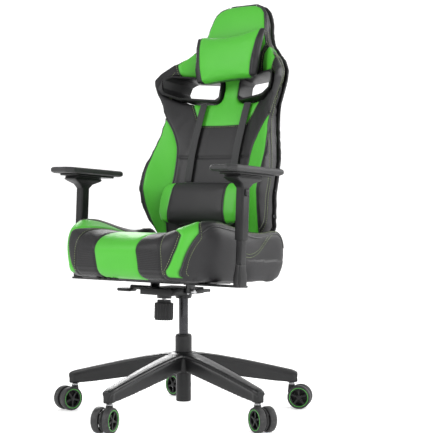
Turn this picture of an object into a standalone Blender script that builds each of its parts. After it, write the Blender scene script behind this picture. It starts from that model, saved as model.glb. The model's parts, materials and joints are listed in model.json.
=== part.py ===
"""Racing-style gaming chair: five-star base on twin-wheel casters, gas lift, tilt mechanism,
padded seat, reclining backrest with two shoulder openings, two pillows and adjustable armrests.

Metres, +Z up. The chair faces -Y, so the sitter's left hand is at +X. The gas lift stands at
COLUMN, and the origin is on the floor under the middle of the chair's box.
"""

import math

import bmesh
import bpy
from mathutils import Matrix, Vector

# ---------------------------------------------------------------- driving dimensions
COLUMN = Vector((-0.0221, 0.0339, 0.0))
GAP = 0.0003

BASE_RADIUS = 0.350
BASE_ARM_ANGLES = (130, 202, 274, 346, 58)
CASTER_HEADINGS = (170, 260, 285, 338, 26)
HUB_RADIUS, HUB_BOTTOM, HUB_TOP = 0.045, 0.130, 0.187
ARM_TIP_TOP, ARM_TIP_BOTTOM = 0.117, 0.078

WHEEL_RADIUS, WHEEL_WIDTH, WHEEL_SPACING = 0.036, 0.021, 0.034
CASTER_TRAIL = 0.026
STEM_RADIUS = 0.0055
AXLE_RADIUS = 0.004

GAS_TUBE_RADIUS, GAS_TUBE_LOWER_RADIUS = 0.025, 0.0225
GAS_TUBE_BOTTOM, GAS_TUBE_TOP = 0.040, 0.241
PISTON_RADIUS, PISTON_BOTTOM, PISTON_TOP = 0.014, 0.135, 0.377

HOUSING_BOTTOM, HOUSING_TOP, HOUSING_REAR_TOP = 0.358, 0.3825, 0.374
TILT_PIVOT = Vector((0.0, -0.045, 0.373))
LEVER_Y, LEVER_Z = -0.022, 0.374
SEAT_TILT = math.radians(3.0)

RECLINE_PIVOT = Vector((0.0, 0.125, 0.475))
BACK_LEAN = math.radians(13.0)
BACK_BOTTOM, BACK_TOP = -0.012, 0.804

ARM_X, ARM_Y = 0.3085, -0.127
PAD_LENGTH, PAD_WIDTH = 0.255, 0.098

ROUND = 20  # sides of a small round part


# ---------------------------------------------------------------- scene and materials
def clear_scene():
    for obj in list(bpy.data.objects):
        bpy.data.objects.remove(obj, do_unlink=True)


def new_collection(name):
    collection = bpy.data.collections.new(name)
    bpy.context.scene.collection.children.link(collection)
    return collection


def material(name, colour, roughness=0.5, metallic=0.0):
    found = bpy.data.materials.get(name)
    if found:
        return found
    made = bpy.data.materials.new(name)
    made.use_nodes = True
    shader = made.node_tree.nodes["Principled BSDF"]
    shader.inputs["Base Color"].default_value = (*colour, 1)
    shader.inputs["Roughness"].default_value = roughness
    shader.inputs["Metallic"].default_value = metallic
    return made


def black_plastic():
    return material("black_plastic", (0.022, 0.022, 0.024), 0.45)


def black_steel():
    return material("black_steel", (0.018, 0.018, 0.020), 0.38, 0.6)


def chrome_steel():
    return material("polished_steel", (0.55, 0.55, 0.56), 0.25, 1.0)


def wheel_rubber():
    return material("wheel_rubber", (0.03, 0.03, 0.032), 0.6)


def black_leather():
    return material("black_leather", (0.03, 0.032, 0.036), 0.5)


def green_leather():
    return material("green_leather", (0.09, 0.56, 0.045), 0.45)


def black_webbing():
    return material("black_webbing", (0.02, 0.02, 0.022), 0.7)


clear_scene()
CHAIR = new_collection("gaming_chair")
CUTTERS = new_collection("cutters")


def datum(name, location, rotation=(0, 0, 0), parent=None):
    """An empty that pieces are placed on."""
    empty = bpy.data.objects.new(name, None)
    empty.empty_display_size = 0.05
    empty.location = location
    empty.rotation_euler = rotation
    empty.parent = parent
    CHAIR.objects.link(empty)
    return empty


def tilted(about, angle):
    """Where an empty goes so that its space is the level one turned back by angle about a point."""
    turn = Matrix.Rotation(-angle, 3, "X")
    return about - turn @ about


COLUMN_DATUM = datum("column_datum", COLUMN)
SEAT_DATUM = datum("seat_datum", tilted(TILT_PIVOT, SEAT_TILT), (-SEAT_TILT, 0, 0), COLUMN_DATUM)
BACK_DATUM = datum("back_datum", RECLINE_PIVOT, (-BACK_LEAN, 0, 0), COLUMN_DATUM)


# ---------------------------------------------------------------- modelling helpers
def place(name, bm, finish, parent=COLUMN_DATUM, location=(0, 0, 0), rotation=(0, 0, 0), smooth=False):
    """Makes a named object from a bmesh and puts it on a datum."""
    bmesh.ops.recalc_face_normals(bm, faces=bm.faces)
    mesh = bpy.data.meshes.new(name)
    bm.to_mesh(mesh)
    bm.free()
    if smooth:
        mesh.shade_smooth()
        mesh.set_sharp_from_angle(angle=math.radians(35))
    obj = bpy.data.objects.new(name, mesh)
    obj.parent = parent
    obj.location = location
    obj.rotation_euler = rotation
    if finish is None:
        obj.hide_render = True
        obj.display_type = "WIRE"
        CUTTERS.objects.link(obj)
    else:
        mesh.materials.append(finish)
        CHAIR.objects.link(obj)
    return obj


def block(low, high):
    """A box between two corners."""
    bm = bmesh.new()
    bmesh.ops.create_cube(bm, size=1)
    low, high = Vector(map(min, low, high)), Vector(map(max, low, high))
    for vert in bm.verts:
        vert.co = Vector((low[i] + high[i]) / 2 + vert.co[i] * (high[i] - low[i]) for i in range(3))
    return bm


def rod(start, end, radius, end_radius=None, sides=ROUND):
    """A round bar, or a cone, from one point to another."""
    start, end = Vector(start), Vector(end)
    along = end - start
    turn = along.to_track_quat("Z", "Y").to_matrix().to_4x4()
    bm = bmesh.new()
    bmesh.ops.create_cone(
        bm, cap_ends=True, segments=sides, radius1=radius,
        radius2=radius if end_radius is None else end_radius, depth=along.length,
        matrix=Matrix.Translation((start + end) / 2) @ turn,
    )
    return bm


def turned(name, profile, finish, parent=COLUMN_DATUM, location=(0, 0, 0), rotation=(0, 0, 0), steps=ROUND):
    """A turned piece about its own Z, from (radius, height) points down its outer side."""
    bm = bmesh.new()
    verts = [bm.verts.new((radius, 0, height)) for radius, height in profile]
    closed = profile[0][0] > 0
    for first, second in zip(verts, verts[1:] + verts[:1] if closed else verts[1:]):
        bm.edges.new((first, second))
    mesh = bpy.data.meshes.new(name)
    bm.to_mesh(mesh)
    bm.free()
    obj = bpy.data.objects.new(name, mesh)
    obj.parent = parent
    obj.location = location
    obj.rotation_euler = rotation
    screw = obj.modifiers.new("turn", "SCREW")
    screw.steps = steps
    screw.render_steps = steps
    screw.use_merge_vertices = True
    screw.merge_threshold = 0.00005
    screw.use_smooth_shade = True
    mesh.materials.append(finish)
    CHAIR.objects.link(obj)
    return obj


def loft(sections):
    """A closed solid through equal loops of points, capped at both ends."""
    bm = bmesh.new()
    rings = [[bm.verts.new(point) for point in section] for section in sections]
    count = len(rings[0])
    for lower, upper in zip(rings, rings[1:]):
        for i in range(count):
            j = (i + 1) % count
            bm.faces.new((lower[i], lower[j], upper[j], upper[i]))
    # The shorter diagonal splits each face, so two skins that follow one surface split alike.
    bmesh.ops.triangulate(bm, faces=bm.faces, quad_method="SHORT_EDGE")
    bm.faces.new(list(reversed(rings[0])))
    bm.faces.new(rings[-1])
    return bm


def extruded(outline, thickness):
    """A flat outline in local XY, given a thickness along +Z."""
    bm = bmesh.new()
    face = bm.faces.new([bm.verts.new((x, y, 0)) for x, y in outline])
    risen = bmesh.ops.extrude_face_region(bm, geom=[face])["geom"]
    bmesh.ops.translate(
        bm, vec=(0, 0, thickness), verts=[g for g in risen if isinstance(g, bmesh.types.BMVert)]
    )
    return bm


def soften(obj, width, segments=1):
    bevel = obj.modifiers.new("edges", "BEVEL")
    bevel.width = width
    bevel.segments = segments
    bevel.limit_method = "ANGLE"
    bevel.angle_limit = math.radians(40)
    return obj


def cut(obj, cutter, operation="DIFFERENCE"):
    boolean = obj.modifiers.new(cutter.name, "BOOLEAN")
    boolean.operation = operation
    boolean.object = cutter
    boolean.solver = "EXACT"
    return obj


def smooth_through(points):
    """A smooth function through hand-set (place, value) points, with no overshoot between them."""
    places = [p for p, _ in points]
    values = [v for _, v in points]
    steps = [b - a for a, b in zip(places, places[1:])]
    slopes = [(b - a) / step for a, b, step in zip(values, values[1:], steps)]
    tangents = [slopes[0]]
    for i in range(1, len(slopes)):
        before, after = slopes[i - 1], slopes[i]
        level = before * after <= 0
        tangents.append(0.0 if level else 2 * before * after / (before + after))
    tangents.append(slopes[-1])

    def value(place_wanted):
        at = min(max(place_wanted, places[0]), places[-1])
        i = max(k for k in range(len(steps)) if places[k] <= at)
        t = (at - places[i]) / steps[i]
        rise = (1 - t) ** 2 * ((1 + 2 * t) * values[i] + t * steps[i] * tangents[i])
        return rise + t * t * ((3 - 2 * t) * values[i + 1] - (1 - t) * steps[i] * tangents[i + 1])

    return value


def mirrored(sides=("left", "right")):
    """Each side's name and the sign of its X."""
    return zip(sides, (1, -1))


# ---------------------------------------------------------------- five-star base
def base_star():
    hub = place(
        "base_star", rod((0, 0, HUB_BOTTOM), (0, 0, HUB_TOP), HUB_RADIUS, HUB_RADIUS - 0.006, 30),
        black_steel(),
    )
    reaches = (0.020, 0.110, 0.200, 0.290, BASE_RADIUS + 0.014)
    half_widths = (0.027, 0.025, 0.0225, 0.020, 0.0175)
    for number, angle in enumerate(BASE_ARM_ANGLES):
        sections = []
        for reach, half in zip(reaches, half_widths):
            t = (reach - reaches[0]) / (reaches[-1] - reaches[0])
            top = HUB_TOP - 0.002 + (ARM_TIP_TOP - HUB_TOP + 0.002) * t + 0.012 * t * (1 - t)
            low = HUB_BOTTOM + 0.001 + (ARM_TIP_BOTTOM - HUB_BOTTOM - 0.001) * t ** 1.1
            sections.append([
                (reach, -half, low), (reach, half, low), (reach, half, top - 0.012),
                (reach, half * 0.55, top), (reach, -half * 0.55, top), (reach, -half, top - 0.012),
            ])
        turn = (0, 0, math.radians(angle))
        arm = place(f"cut_arm_{number}", loft(sections), None, rotation=turn)
        cut(hub, arm, "UNION")
        socket = place(
            f"cut_socket_{number}",
            rod((BASE_RADIUS, 0, 0.05), (BASE_RADIUS, 0, 0.106), STEM_RADIUS + GAP), None, rotation=turn,
        )
        cut(hub, socket)
    bore = place(
        "cut_hub_bore", rod((0, 0, 0.1), (0, 0, 0.22), GAS_TUBE_LOWER_RADIUS + GAP, sides=30), None,
    )
    return cut(hub, bore)


def casters():
    half_gap = WHEEL_SPACING / 2 - WHEEL_WIDTH / 2
    for number, (angle, heading) in enumerate(zip(BASE_ARM_ANGLES, CASTER_HEADINGS), 1):
        angle, heading = math.radians(angle), math.radians(heading)
        stem = Vector((math.cos(angle), math.sin(angle), 0)) * BASE_RADIUS
        swivel = datum(f"caster_{number}_datum", stem, (0, 0, heading), COLUMN_DATUM)
        # The fork is a web between the wheels with the stem above and the axle through it.
        web = extruded([
            (-0.013, 0.048), (-0.010, 0.074), (0.010, 0.074), (0.030, 0.064), (0.043, 0.050),
            (0.040, 0.030), (0.022, 0.022), (0.004, 0.027),
        ], 2 * half_gap - 0.003)
        bmesh.ops.transform(web, matrix=Matrix.Rotation(math.radians(90), 4, "X"), verts=web.verts)
        bmesh.ops.translate(web, vec=(0, half_gap - 0.0015, 0), verts=web.verts)
        fork = place(f"caster_fork_{number}", web, black_plastic(), swivel)
        collar = place(f"cut_collar_{number}", rod((0, 0, 0.0705), (0, 0, 0.0772), 0.0105), None, swivel)
        cut(fork, collar, "UNION")
        pin = place(f"cut_stem_{number}", rod((0, 0, 0.065), (0, 0, 0.104), STEM_RADIUS), None, swivel)
        cut(fork, pin, "UNION")
        reach = WHEEL_SPACING / 2 + WHEEL_WIDTH / 2 - 0.004
        axle = place(
            f"cut_axle_{number}",
            rod(
                (CASTER_TRAIL, -reach, WHEEL_RADIUS), (CASTER_TRAIL, reach, WHEEL_RADIUS), AXLE_RADIUS,
                sides=12,
            ),
            None, swivel,
        )
        cut(fork, axle, "UNION")
        rim, half = WHEEL_RADIUS, WHEEL_WIDTH / 2
        bore = AXLE_RADIUS + GAP
        profile = [
            (bore, half - 0.003), (0.026, half - 0.003), (0.029, half), (rim - 0.003, half),
            (rim, half - 0.004),
            (rim, -half + 0.004), (rim - 0.003, -half), (bore, -half),
        ]
        for letter, side in (("a", 1), ("b", -1)):
            turned(
                f"caster_wheel_{number}{letter}", profile, wheel_rubber(), swivel,
                (CASTER_TRAIL, side * WHEEL_SPACING / 2, WHEEL_RADIUS), (-side * math.pi / 2, 0, 0), 24,
            )


# ---------------------------------------------------------------- gas lift
def gas_lift():
    wide, slim, inner = GAS_TUBE_RADIUS, GAS_TUBE_LOWER_RADIUS, PISTON_RADIUS + GAP
    turned("gas_lift_tube", [
        (inner, GAS_TUBE_TOP), (wide - 0.002, GAS_TUBE_TOP), (wide, GAS_TUBE_TOP - 0.003),
        (wide, HUB_TOP + GAP),
        (slim, HUB_TOP + GAP), (slim, GAS_TUBE_BOTTOM), (inner, GAS_TUBE_BOTTOM),
    ], black_steel(), steps=24)
    turned("gas_lift_piston", [
        (0, PISTON_TOP), (0.004, PISTON_TOP), (0.004, PISTON_TOP - 0.002),
        (PISTON_RADIUS - 0.001, PISTON_TOP - 0.002), (PISTON_RADIUS, HOUSING_BOTTOM - 0.004),
        (PISTON_RADIUS, PISTON_BOTTOM), (0, PISTON_BOTTOM),
    ], chrome_steel(), steps=24)


# ---------------------------------------------------------------- tilt mechanism
def tilt_mechanism():
    body = place(
        "tilt_housing", block((-0.062, -0.125, HOUSING_BOTTOM + 0.006), (0.062, 0.019, HOUSING_TOP)),
        black_steel(),
    )
    tail = place(
        "cut_housing_tail",
        block((-0.055, 0.000, HOUSING_BOTTOM + 0.007), (0.055, 0.060, HOUSING_REAR_TOP)), None,
    )
    boss = place(
        "cut_housing_boss",
        rod((0, 0, HOUSING_BOTTOM - 0.010), (0, 0, HOUSING_BOTTOM + 0.018), 0.0235, 0.030, 24), None,
    )
    cup = place("cut_spring_cup", rod((0, -0.088, 0.3525), (0, -0.0865, 0.3790), 0.0215, sides=24), None)
    bore = place(
        "cut_housing_bore", rod((0, 0, 0.30), (0, 0, PISTON_TOP + 2 * GAP), PISTON_RADIUS + GAP, sides=24),
        None,
    )
    bolt_hole = place(
        "cut_bolt_hole", rod((0, -0.0885, 0.340), (0, -0.0865, 0.3792), 0.0078, sides=12), None,
    )
    pin_hole = place(
        "cut_pin_hole", rod((-0.08, *TILT_PIVOT.yz), (0.08, *TILT_PIVOT.yz), 0.006 + GAP, sides=16), None,
    )
    lever_hole = place(
        "cut_lever_hole", rod((-0.08, LEVER_Y, LEVER_Z), (-0.042, LEVER_Y, LEVER_Z), 0.0062, sides=16),
        None,
    )
    for joined in (tail, boss, cup):
        cut(body, joined, "UNION")
    for removed in (bore, bolt_hole, pin_hole, lever_hole):
        cut(body, removed)
    place(
        "tilt_pivot_pin", rod((-0.080, *TILT_PIVOT.yz), (0.080, *TILT_PIVOT.yz), 0.006, sides=16),
        chrome_steel(), smooth=True,
    )

    # The tension knob hangs on a bolt that leans forward at its foot.
    lean = (-math.radians(2), 0, 0)
    knob = turned("tension_knob", [
        (0, -0.004), (0.021, -0.004), (0.0285, -0.010), (0.0275, -0.058), (0.0245, -0.064), (0, -0.064),
    ], black_plastic(), location=(0, -0.0885, 0.3520), rotation=lean, steps=32)
    bolt = place(
        "cut_knob_bolt", rod((0, 0, -0.010), (0, 0, 0.024), 0.006, sides=12), None,
        location=(0, -0.0885, 0.3520), rotation=lean,
    )
    cut(knob, bolt, "UNION")

    # The lever's rod pivots in the housing wall, and its handle slides out along the rod to lock the tilt.
    place(
        "height_lever_rod", rod((-0.046, LEVER_Y, LEVER_Z), (-0.150, LEVER_Y, LEVER_Z), 0.0040, sides=12),
        chrome_steel(), smooth=True,
    )
    grip = place(
        "height_lever_handle",
        rod((-0.078, LEVER_Y, LEVER_Z), (-0.190, LEVER_Y, LEVER_Z), 0.0070, sides=14), black_plastic(),
        smooth=True,
    )
    paddle = place(
        "cut_lever_paddle", block((-0.236, LEVER_Y - 0.018, 0.3600), (-0.180, LEVER_Y + 0.018, 0.3710)),
        None,
    )
    hollow = place(
        "cut_lever_hollow",
        rod((-0.070, LEVER_Y, LEVER_Z), (-0.1505, LEVER_Y, LEVER_Z), 0.0040 + GAP, sides=12), None,
    )
    cut(grip, soften(paddle, 0.004), "UNION")
    cut(grip, hollow)


# ---------------------------------------------------------------- seat
def seat_supports():
    plate = place(
        "seat_plate", block((-0.095, -0.155, 0.3962), (0.095, 0.105, 0.4010)), black_steel(), SEAT_DATUM,
    )
    for side, sign in mirrored():
        ear = place(
            f"cut_plate_ear_{side}", block((sign * 0.066, -0.070, 0.368), (sign * 0.071, -0.0325, 0.398)),
            None, SEAT_DATUM,
        )
        cut(plate, ear, "UNION")
    hole = place(
        "cut_plate_pin_hole", rod((-0.09, *TILT_PIVOT.yz), (0.09, *TILT_PIVOT.yz), 0.006 + GAP, sides=16),
        None, SEAT_DATUM,
    )
    cut(plate, hole)
    pan = place(
        "seat_pan", block((-0.205, -0.255, 0.4022), (0.205, 0.075, 0.4102)), black_steel(), SEAT_DATUM,
    )
    soften(pan, 0.003)


SEAT_HALF_WIDTH = smooth_through([
    (-0.300, 0.196), (-0.285, 0.221), (-0.245, 0.246), (-0.190, 0.262), (-0.060, 0.268), (0.085, 0.262),
])
SEAT_CENTRE_TOP = smooth_through([
    (-0.300, 0.486), (-0.285, 0.518), (-0.245, 0.540), (-0.190, 0.545), (-0.060, 0.528), (0.085, 0.515),
])
SEAT_BOLSTER_TOP = smooth_through([
    (-0.300, 0.500), (-0.285, 0.540), (-0.245, 0.574), (-0.165, 0.587), (-0.050, 0.566), (0.085, 0.546),
])
# How far the middle of the front edge stands forward, and where the bow starts and is full.
SEAT_FRONT_BOW, BOW_STARTS, BOW_LENGTH = 0.024, -0.235, 0.065
SEAT_BOTTOM = smooth_through([(-0.300, 0.440), (-0.285, 0.420), (-0.245, 0.4115), (0.085, 0.4115)])


def seat_section(y):
    """A loop across the cushion: a flat bottom, bulging sides, raised bolsters and a lower middle."""
    half, low = SEAT_HALF_WIDTH(y), SEAT_BOTTOM(y)
    middle, crest = SEAT_CENTRE_TOP(y), SEAT_BOLSTER_TOP(y)
    shape = [
        (-0.90, low), (-0.98, low + 0.35 * (crest - low)), (-1.00, low + 0.68 * (crest - low)),
        (-0.975, crest - 0.012),
        (-0.90, crest), (-0.80, crest - 0.006), (-0.68, middle + 0.45 * (crest - middle)),
        (-0.55, middle + 0.004), (-0.28, middle),
    ]
    right = [(-u, z) for u, z in reversed(shape)]
    bow = SEAT_FRONT_BOW * max(0.0, (BOW_STARTS - y) / BOW_LENGTH)
    return [(u * half, y - bow * (1 - u * u), z) for u, z in shape + [(0.0, middle)] + right]


def ear_outline():
    """The rounded flap at the seat's rear corner, in (y, z)."""
    return [
        (-0.030, 0.414), (0.105, 0.4105), (0.137, 0.420), (0.156, 0.440), (0.164, 0.472), (0.165, 0.512),
        (0.157, 0.543), (0.141, 0.560), (0.115, 0.567), (0.070, 0.560), (-0.030, 0.556),
    ]


def seat_cushion():
    stations = (-0.300, -0.293, -0.280, -0.262, -0.235, -0.195, -0.150, -0.100, -0.050, 0.000, 0.045, 0.085)
    cushion = place(
        "seat_cushion", loft([seat_section(y) for y in stations]), black_leather(), SEAT_DATUM,
        smooth=True
    )
    inner, outer = 0.2315, 0.262
    for side, sign in mirrored():
        flap = extruded([(y, z) for y, z in ear_outline()], outer - inner)
        # Local XY becomes world YZ, and the thickness runs outwards along X.
        bmesh.ops.transform(
            flap, matrix=Matrix(((0, 0, 1, 0), (1, 0, 0, 0), (0, 1, 0, 0), (0, 0, 0, 1))),
            verts=flap.verts,
        )
        bmesh.ops.translate(flap, vec=(inner if sign > 0 else -outer, 0, 0), verts=flap.verts)
        ear = place(f"cut_ear_{side}", flap, None, SEAT_DATUM)
        cut(cushion, soften(ear, 0.006), "UNION")
        slot = place(
            f"cut_hinge_slot_{side}", block((sign * 0.2010, 0.040, 0.380), (sign * 0.2312, 0.200, 0.600)),
            None, SEAT_DATUM,
        )
        cut(cushion, slot)
    shaft = place(
        "cut_lever_shaft", rod((-0.30, *RECLINE_PIVOT.yz), (-0.225, *RECLINE_PIVOT.yz), 0.0095, sides=16),
        None,
    )
    return cut(cushion, shaft)


# ---------------------------------------------------------------- backrest
# In the backrest's own space X is across, Z runs up the back and -Y is towards the sitter.
BACK_HALF_WIDTH = smooth_through([
    (-0.020, 0.1975), (0.045, 0.2015), (0.065, 0.2100), (0.092, 0.2290), (0.125, 0.2370), (0.180, 0.2430),
    (0.240, 0.2430),
    (0.300, 0.2330), (0.360, 0.2190), (0.410, 0.2110), (0.450, 0.2160), (0.490, 0.2350), (0.525, 0.2480),
    (0.560, 0.2410),
    (0.600, 0.2050), (0.635, 0.1610), (0.660, 0.1360), (0.690, 0.1210), (0.730, 0.1140), (0.765, 0.1050),
    (0.785, 0.0890),
    (0.798, 0.0600), (0.804, 0.0300),
])
BACK_FRONT_CENTRE = smooth_through([
    (-0.020, 0.012), (0.100, 0.030), (0.200, 0.044), (0.300, 0.043), (0.410, 0.028), (0.520, 0.012),
    (0.600, 0.022),
    (0.700, 0.036), (0.780, 0.028), (0.804, 0.006),
])
BACK_FRONT_EDGE = smooth_through([
    (-0.020, 0.014), (0.050, 0.036), (0.100, 0.074), (0.180, 0.120), (0.250, 0.112), (0.300, 0.094),
    (0.360, 0.080),
    (0.410, 0.075), (0.470, 0.098), (0.525, 0.116), (0.570, 0.098), (0.600, 0.072), (0.640, 0.045),
    (0.700, 0.034),
    (0.780, 0.024), (0.804, 0.004),
])
BACK_THICK_CENTRE = smooth_through([
    (-0.020, 0.068), (0.100, 0.060), (0.600, 0.060), (0.700, 0.062), (0.780, 0.045), (0.804, 0.016),
])
BACK_THICK_EDGE = smooth_through([
    (-0.020, 0.070), (0.050, 0.084), (0.100, 0.092), (0.180, 0.102), (0.300, 0.087), (0.410, 0.066),
    (0.520, 0.068),
    (0.600, 0.060), (0.700, 0.060), (0.780, 0.040), (0.804, 0.012),
])
REAR_COVER = 0.014  # how deep the rear cover is at the middle


def wing(t):
    """How much of the side bolsters' forward sweep a place across the back has, from 0 to 1."""
    u = max(0.0, (abs(t) - 0.35) / 0.65)
    return 0.6 * u * u * (3 - 2 * u) + 0.4 * u * u


def back_front(x, s):
    t = x / BACK_HALF_WIDTH(s)
    return BACK_FRONT_CENTRE(s) + (BACK_FRONT_EDGE(s) - BACK_FRONT_CENTRE(s)) * wing(t)


def back_rear(x, s):
    t = x / BACK_HALF_WIDTH(s)
    return back_front(x, s) - BACK_THICK_CENTRE(s) - (BACK_THICK_EDGE(s) - BACK_THICK_CENTRE(s)) * wing(t)


def back_split(x, s):
    """The joint between the front cushion and the rear cover."""
    return back_rear(x, s) + REAR_COVER


BACK_STATIONS = (
    BACK_BOTTOM, 0.030, 0.062, 0.090, 0.125, 0.180, 0.240, 0.300, 0.360, 0.410, 0.450, 0.490, 0.525, 0.560,
    0.598,
    0.632, 0.662, 0.695, 0.735, 0.768, 0.788, 0.799, BACK_TOP,
)
ACROSS = (-1.0, -0.86, -0.7, -0.5, -0.25, 0.0, 0.25, 0.5, 0.7, 0.86, 1.0)


def back_loop(s, front, rear):
    """A loop around the back at one height, its rims drawn in a little between front and rear."""
    half = BACK_HALF_WIDTH(s)
    ahead = [(t * half * 0.985, -front(t * half * 0.985, s), s) for t in ACROSS]
    behind = [(t * half * 0.985, -rear(t * half * 0.985, s), s) for t in reversed(ACROSS)]
    middle = (ahead[-1][1] + behind[0][1]) / 2
    return ahead + [(half, middle, s)] + behind + [(-half, middle, s)]


# The bezel's wall, the room cut for it in the foam, how far its lip stands in front and stops short behind.
BEZEL_WALL, BEZEL_SEAT, BEZEL_PROUD, BEZEL_REST = 0.0065, 0.0080, 0.004, 0.003
FUNNEL_REAR, FUNNEL_FRONT, FUNNEL_SPREAD = -0.045, 0.090, 0.050  # the openings widen outwards to the front


def opening_outline(n, grow=0.0):
    """One shoulder opening in (x, s) at depth n: wide and low, its outer end further out in front."""
    spread = FUNNEL_SPREAD * (n - FUNNEL_REAR) / (FUNNEL_FRONT - FUNNEL_REAR)
    inner, outer, low, high = 0.040 - grow, 0.160 + spread + grow, 0.486 - grow, 0.548 + grow
    return [
        (inner, low + 0.010), (inner + 0.010, low), (outer - 0.040, low - 0.002),
        (outer - 0.008, low + 0.010),
        (outer, low + 0.026), (outer - 0.004, high - 0.012), (outer - 0.018, high), (inner + 0.010, high),
        (inner, high - 0.010),
    ]


def opening_cutter(name, sign, grow):
    """The opening's funnel carried right through the back."""
    depths = (-0.120, 0.200)
    sections = [[(sign * x, -n, s) for x, s in opening_outline(n, grow)] for n in depths]
    return place(name, loft(sections), None, BACK_DATUM)


def opening_edge(sign, skin, proud, grow):
    """The funnel's outline where it meets a skin of the back."""
    edge = []
    for i in range(len(opening_outline(0.0))):
        n = 0.0
        for _ in range(12):
            x, s = opening_outline(n, grow)[i]
            n += 0.6 * (skin(x, s) + proud - n)
        edge.append((sign * x, -n, s))
    return edge


STUD_S = 0.028  # the studs that hold the back's steel tube to the recliner brackets
STUD_Y = -(back_split(0.178, STUD_S) + 0.0120)


def frame_path():
    """The steel tube of the back, up one side, over between the openings and the head, and down."""
    points = [
        (0.178, -0.004), (0.178, 0.05), (0.178, 0.10), (0.178, 0.15), (0.178, 0.20), (0.178, 0.26), (0.178, 0.32),
        (0.178, 0.37), (0.179, 0.405), (0.190, 0.440), (0.207, 0.470), (0.2195, 0.495), (0.2215, 0.520),
        (0.2190, 0.545), (0.203, 0.572), (0.178, 0.590), (0.140, 0.602), (0.0, 0.604),
    ]
    right = [(-x, s) for x, s in reversed(points[:-1])]
    return [Vector((x, -(back_split(x, s) + 0.0120), s)) for x, s in points + right]


def tube_mesh(points, radius, sides=10):
    """A round bar through a list of points, mitred at each one."""
    sections = []
    for i, point in enumerate(points):
        before, after = points[max(i - 1, 0)], points[min(i + 1, len(points) - 1)]
        along = (after - before).normalized()
        side = along.cross(Vector((0, 1, 0))).normalized()
        other = side.cross(along)
        ring = [2 * math.pi * k / sides for k in range(sides)]
        sections.append([point + radius * (math.cos(a) * side + math.sin(a) * other) for a in ring])
    return loft(sections)


def backrest():
    front = place(
        "back_cushion",
        loft([back_loop(s, back_front, lambda x, z: back_split(x, z) + 2 * GAP) for s in BACK_STATIONS]),
        black_leather(), BACK_DATUM, smooth=True
    )
    rear = place(
        "back_rear_cover",
        loft([back_loop(s, lambda x, z: back_split(x, z), back_rear) for s in BACK_STATIONS]),
        black_leather(), BACK_DATUM, smooth=True
    )
    path = frame_path()
    place("back_frame", tube_mesh(path, 0.0095), black_steel(), BACK_DATUM, smooth=True)
    channel = place(
        "cut_frame_channel",
        tube_mesh([path[0] - Vector((0, 0, 0.03))] + path + [path[-1] - Vector((0, 0, 0.03))], 0.0129),
        None, BACK_DATUM,
    )
    cut(front, channel)
    for side, sign in mirrored():
        hole = opening_cutter(f"cut_opening_{side}", sign, BEZEL_SEAT)
        cut(front, hole)
        cut(rear, hole)
        stud = place(
            f"cut_stud_{side}",
            rod((sign * 0.180, STUD_Y, STUD_S), (sign * 0.23, STUD_Y, STUD_S), 0.0085, sides=14), None,
            BACK_DATUM,
        )
        cut(front, stud)
        ends = [
            opening_edge(sign, back_front, BEZEL_PROUD, BEZEL_WALL), opening_edge(sign, back_rear, -BEZEL_REST, BEZEL_WALL),
        ]
        bezel = place(f"opening_bezel_{side}", loft(ends), black_plastic(), BACK_DATUM)
        inner = opening_cutter(f"cut_bezel_{side}", sign, 0.0)
        cut(bezel, inner)


def recline_hinges():
    y, z = RECLINE_PIVOT.yz
    for side, sign in mirrored():
        # The lower bracket stands on the seat pan, and the upper one turns with the back.
        lower = place(
            f"recline_bracket_lower_{side}",
            block((sign * 0.2140, 0.045, 0.4030), (sign * 0.2190, 0.150, 0.4600)), black_steel(),
        )
        round_top = place(
            f"cut_lower_round_{side}", rod((sign * 0.2140, y, z), (sign * 0.2190, y, z), 0.026, sides=24),
            None,
        )
        foot = place(
            f"cut_lower_foot_{side}",
            block((sign * 0.2056, 0.045, 0.4030), (sign * 0.2170, 0.073, 0.4110)), None,
        )
        neck = place(
            f"cut_lower_neck_{side}",
            block((sign * 0.2140, y - 0.022, 0.44), (sign * 0.2190, y + 0.022, z)), None,
        )
        for joined in (round_top, foot, neck):
            cut(lower, joined, "UNION")
        upper = place(
            f"recline_bracket_upper_{side}",
            block((sign * 0.2080, -0.012, -0.010), (sign * 0.2130, 0.052, 0.050)), black_steel(),
            BACK_DATUM,
        )
        disc = place(
            f"cut_upper_disc_{side}", rod((sign * 0.2080, 0, 0), (sign * 0.2130, 0, 0), 0.030, sides=24),
            None, BACK_DATUM,
        )
        stud = place(
            f"cut_upper_stud_{side}",
            rod((sign * 0.1890, STUD_Y, STUD_S), (sign * 0.2100, STUD_Y, STUD_S), 0.0075, sides=14), None,
            BACK_DATUM,
        )
        hole = place(
            f"cut_upper_hole_{side}", rod((sign * 0.19, 0, 0), (sign * 0.23, 0, 0), 0.008 + GAP, sides=16),
            None, BACK_DATUM,
        )
        for joined in (disc, stud):
            cut(upper, joined, "UNION")
        cut(upper, hole)
        place(
            f"recline_pin_{side}", rod((sign * 0.2062, y, z), (sign * 0.2240, y, z), 0.008, sides=16),
            chrome_steel(), smooth=True,
        )
        bore = place(
            f"cut_lower_hole_{side}", rod((sign * 0.20, y, z), (sign * 0.23, y, z), 0.008 + GAP, sides=16),
            None,
        )
        cut(lower, bore)
    lever = place(
        "recline_lever", rod((-0.2260, y, z), (-0.2790, y, z), 0.007, sides=14), black_plastic(),
        smooth=True,
    )
    arm = place(
        "cut_lever_arm", block((-0.2790, y - 0.125, z - 0.012), (-0.2680, y + 0.012, z + 0.012)), None,
    )
    cut(lever, soften(arm, 0.004, 2), "UNION")


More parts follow.
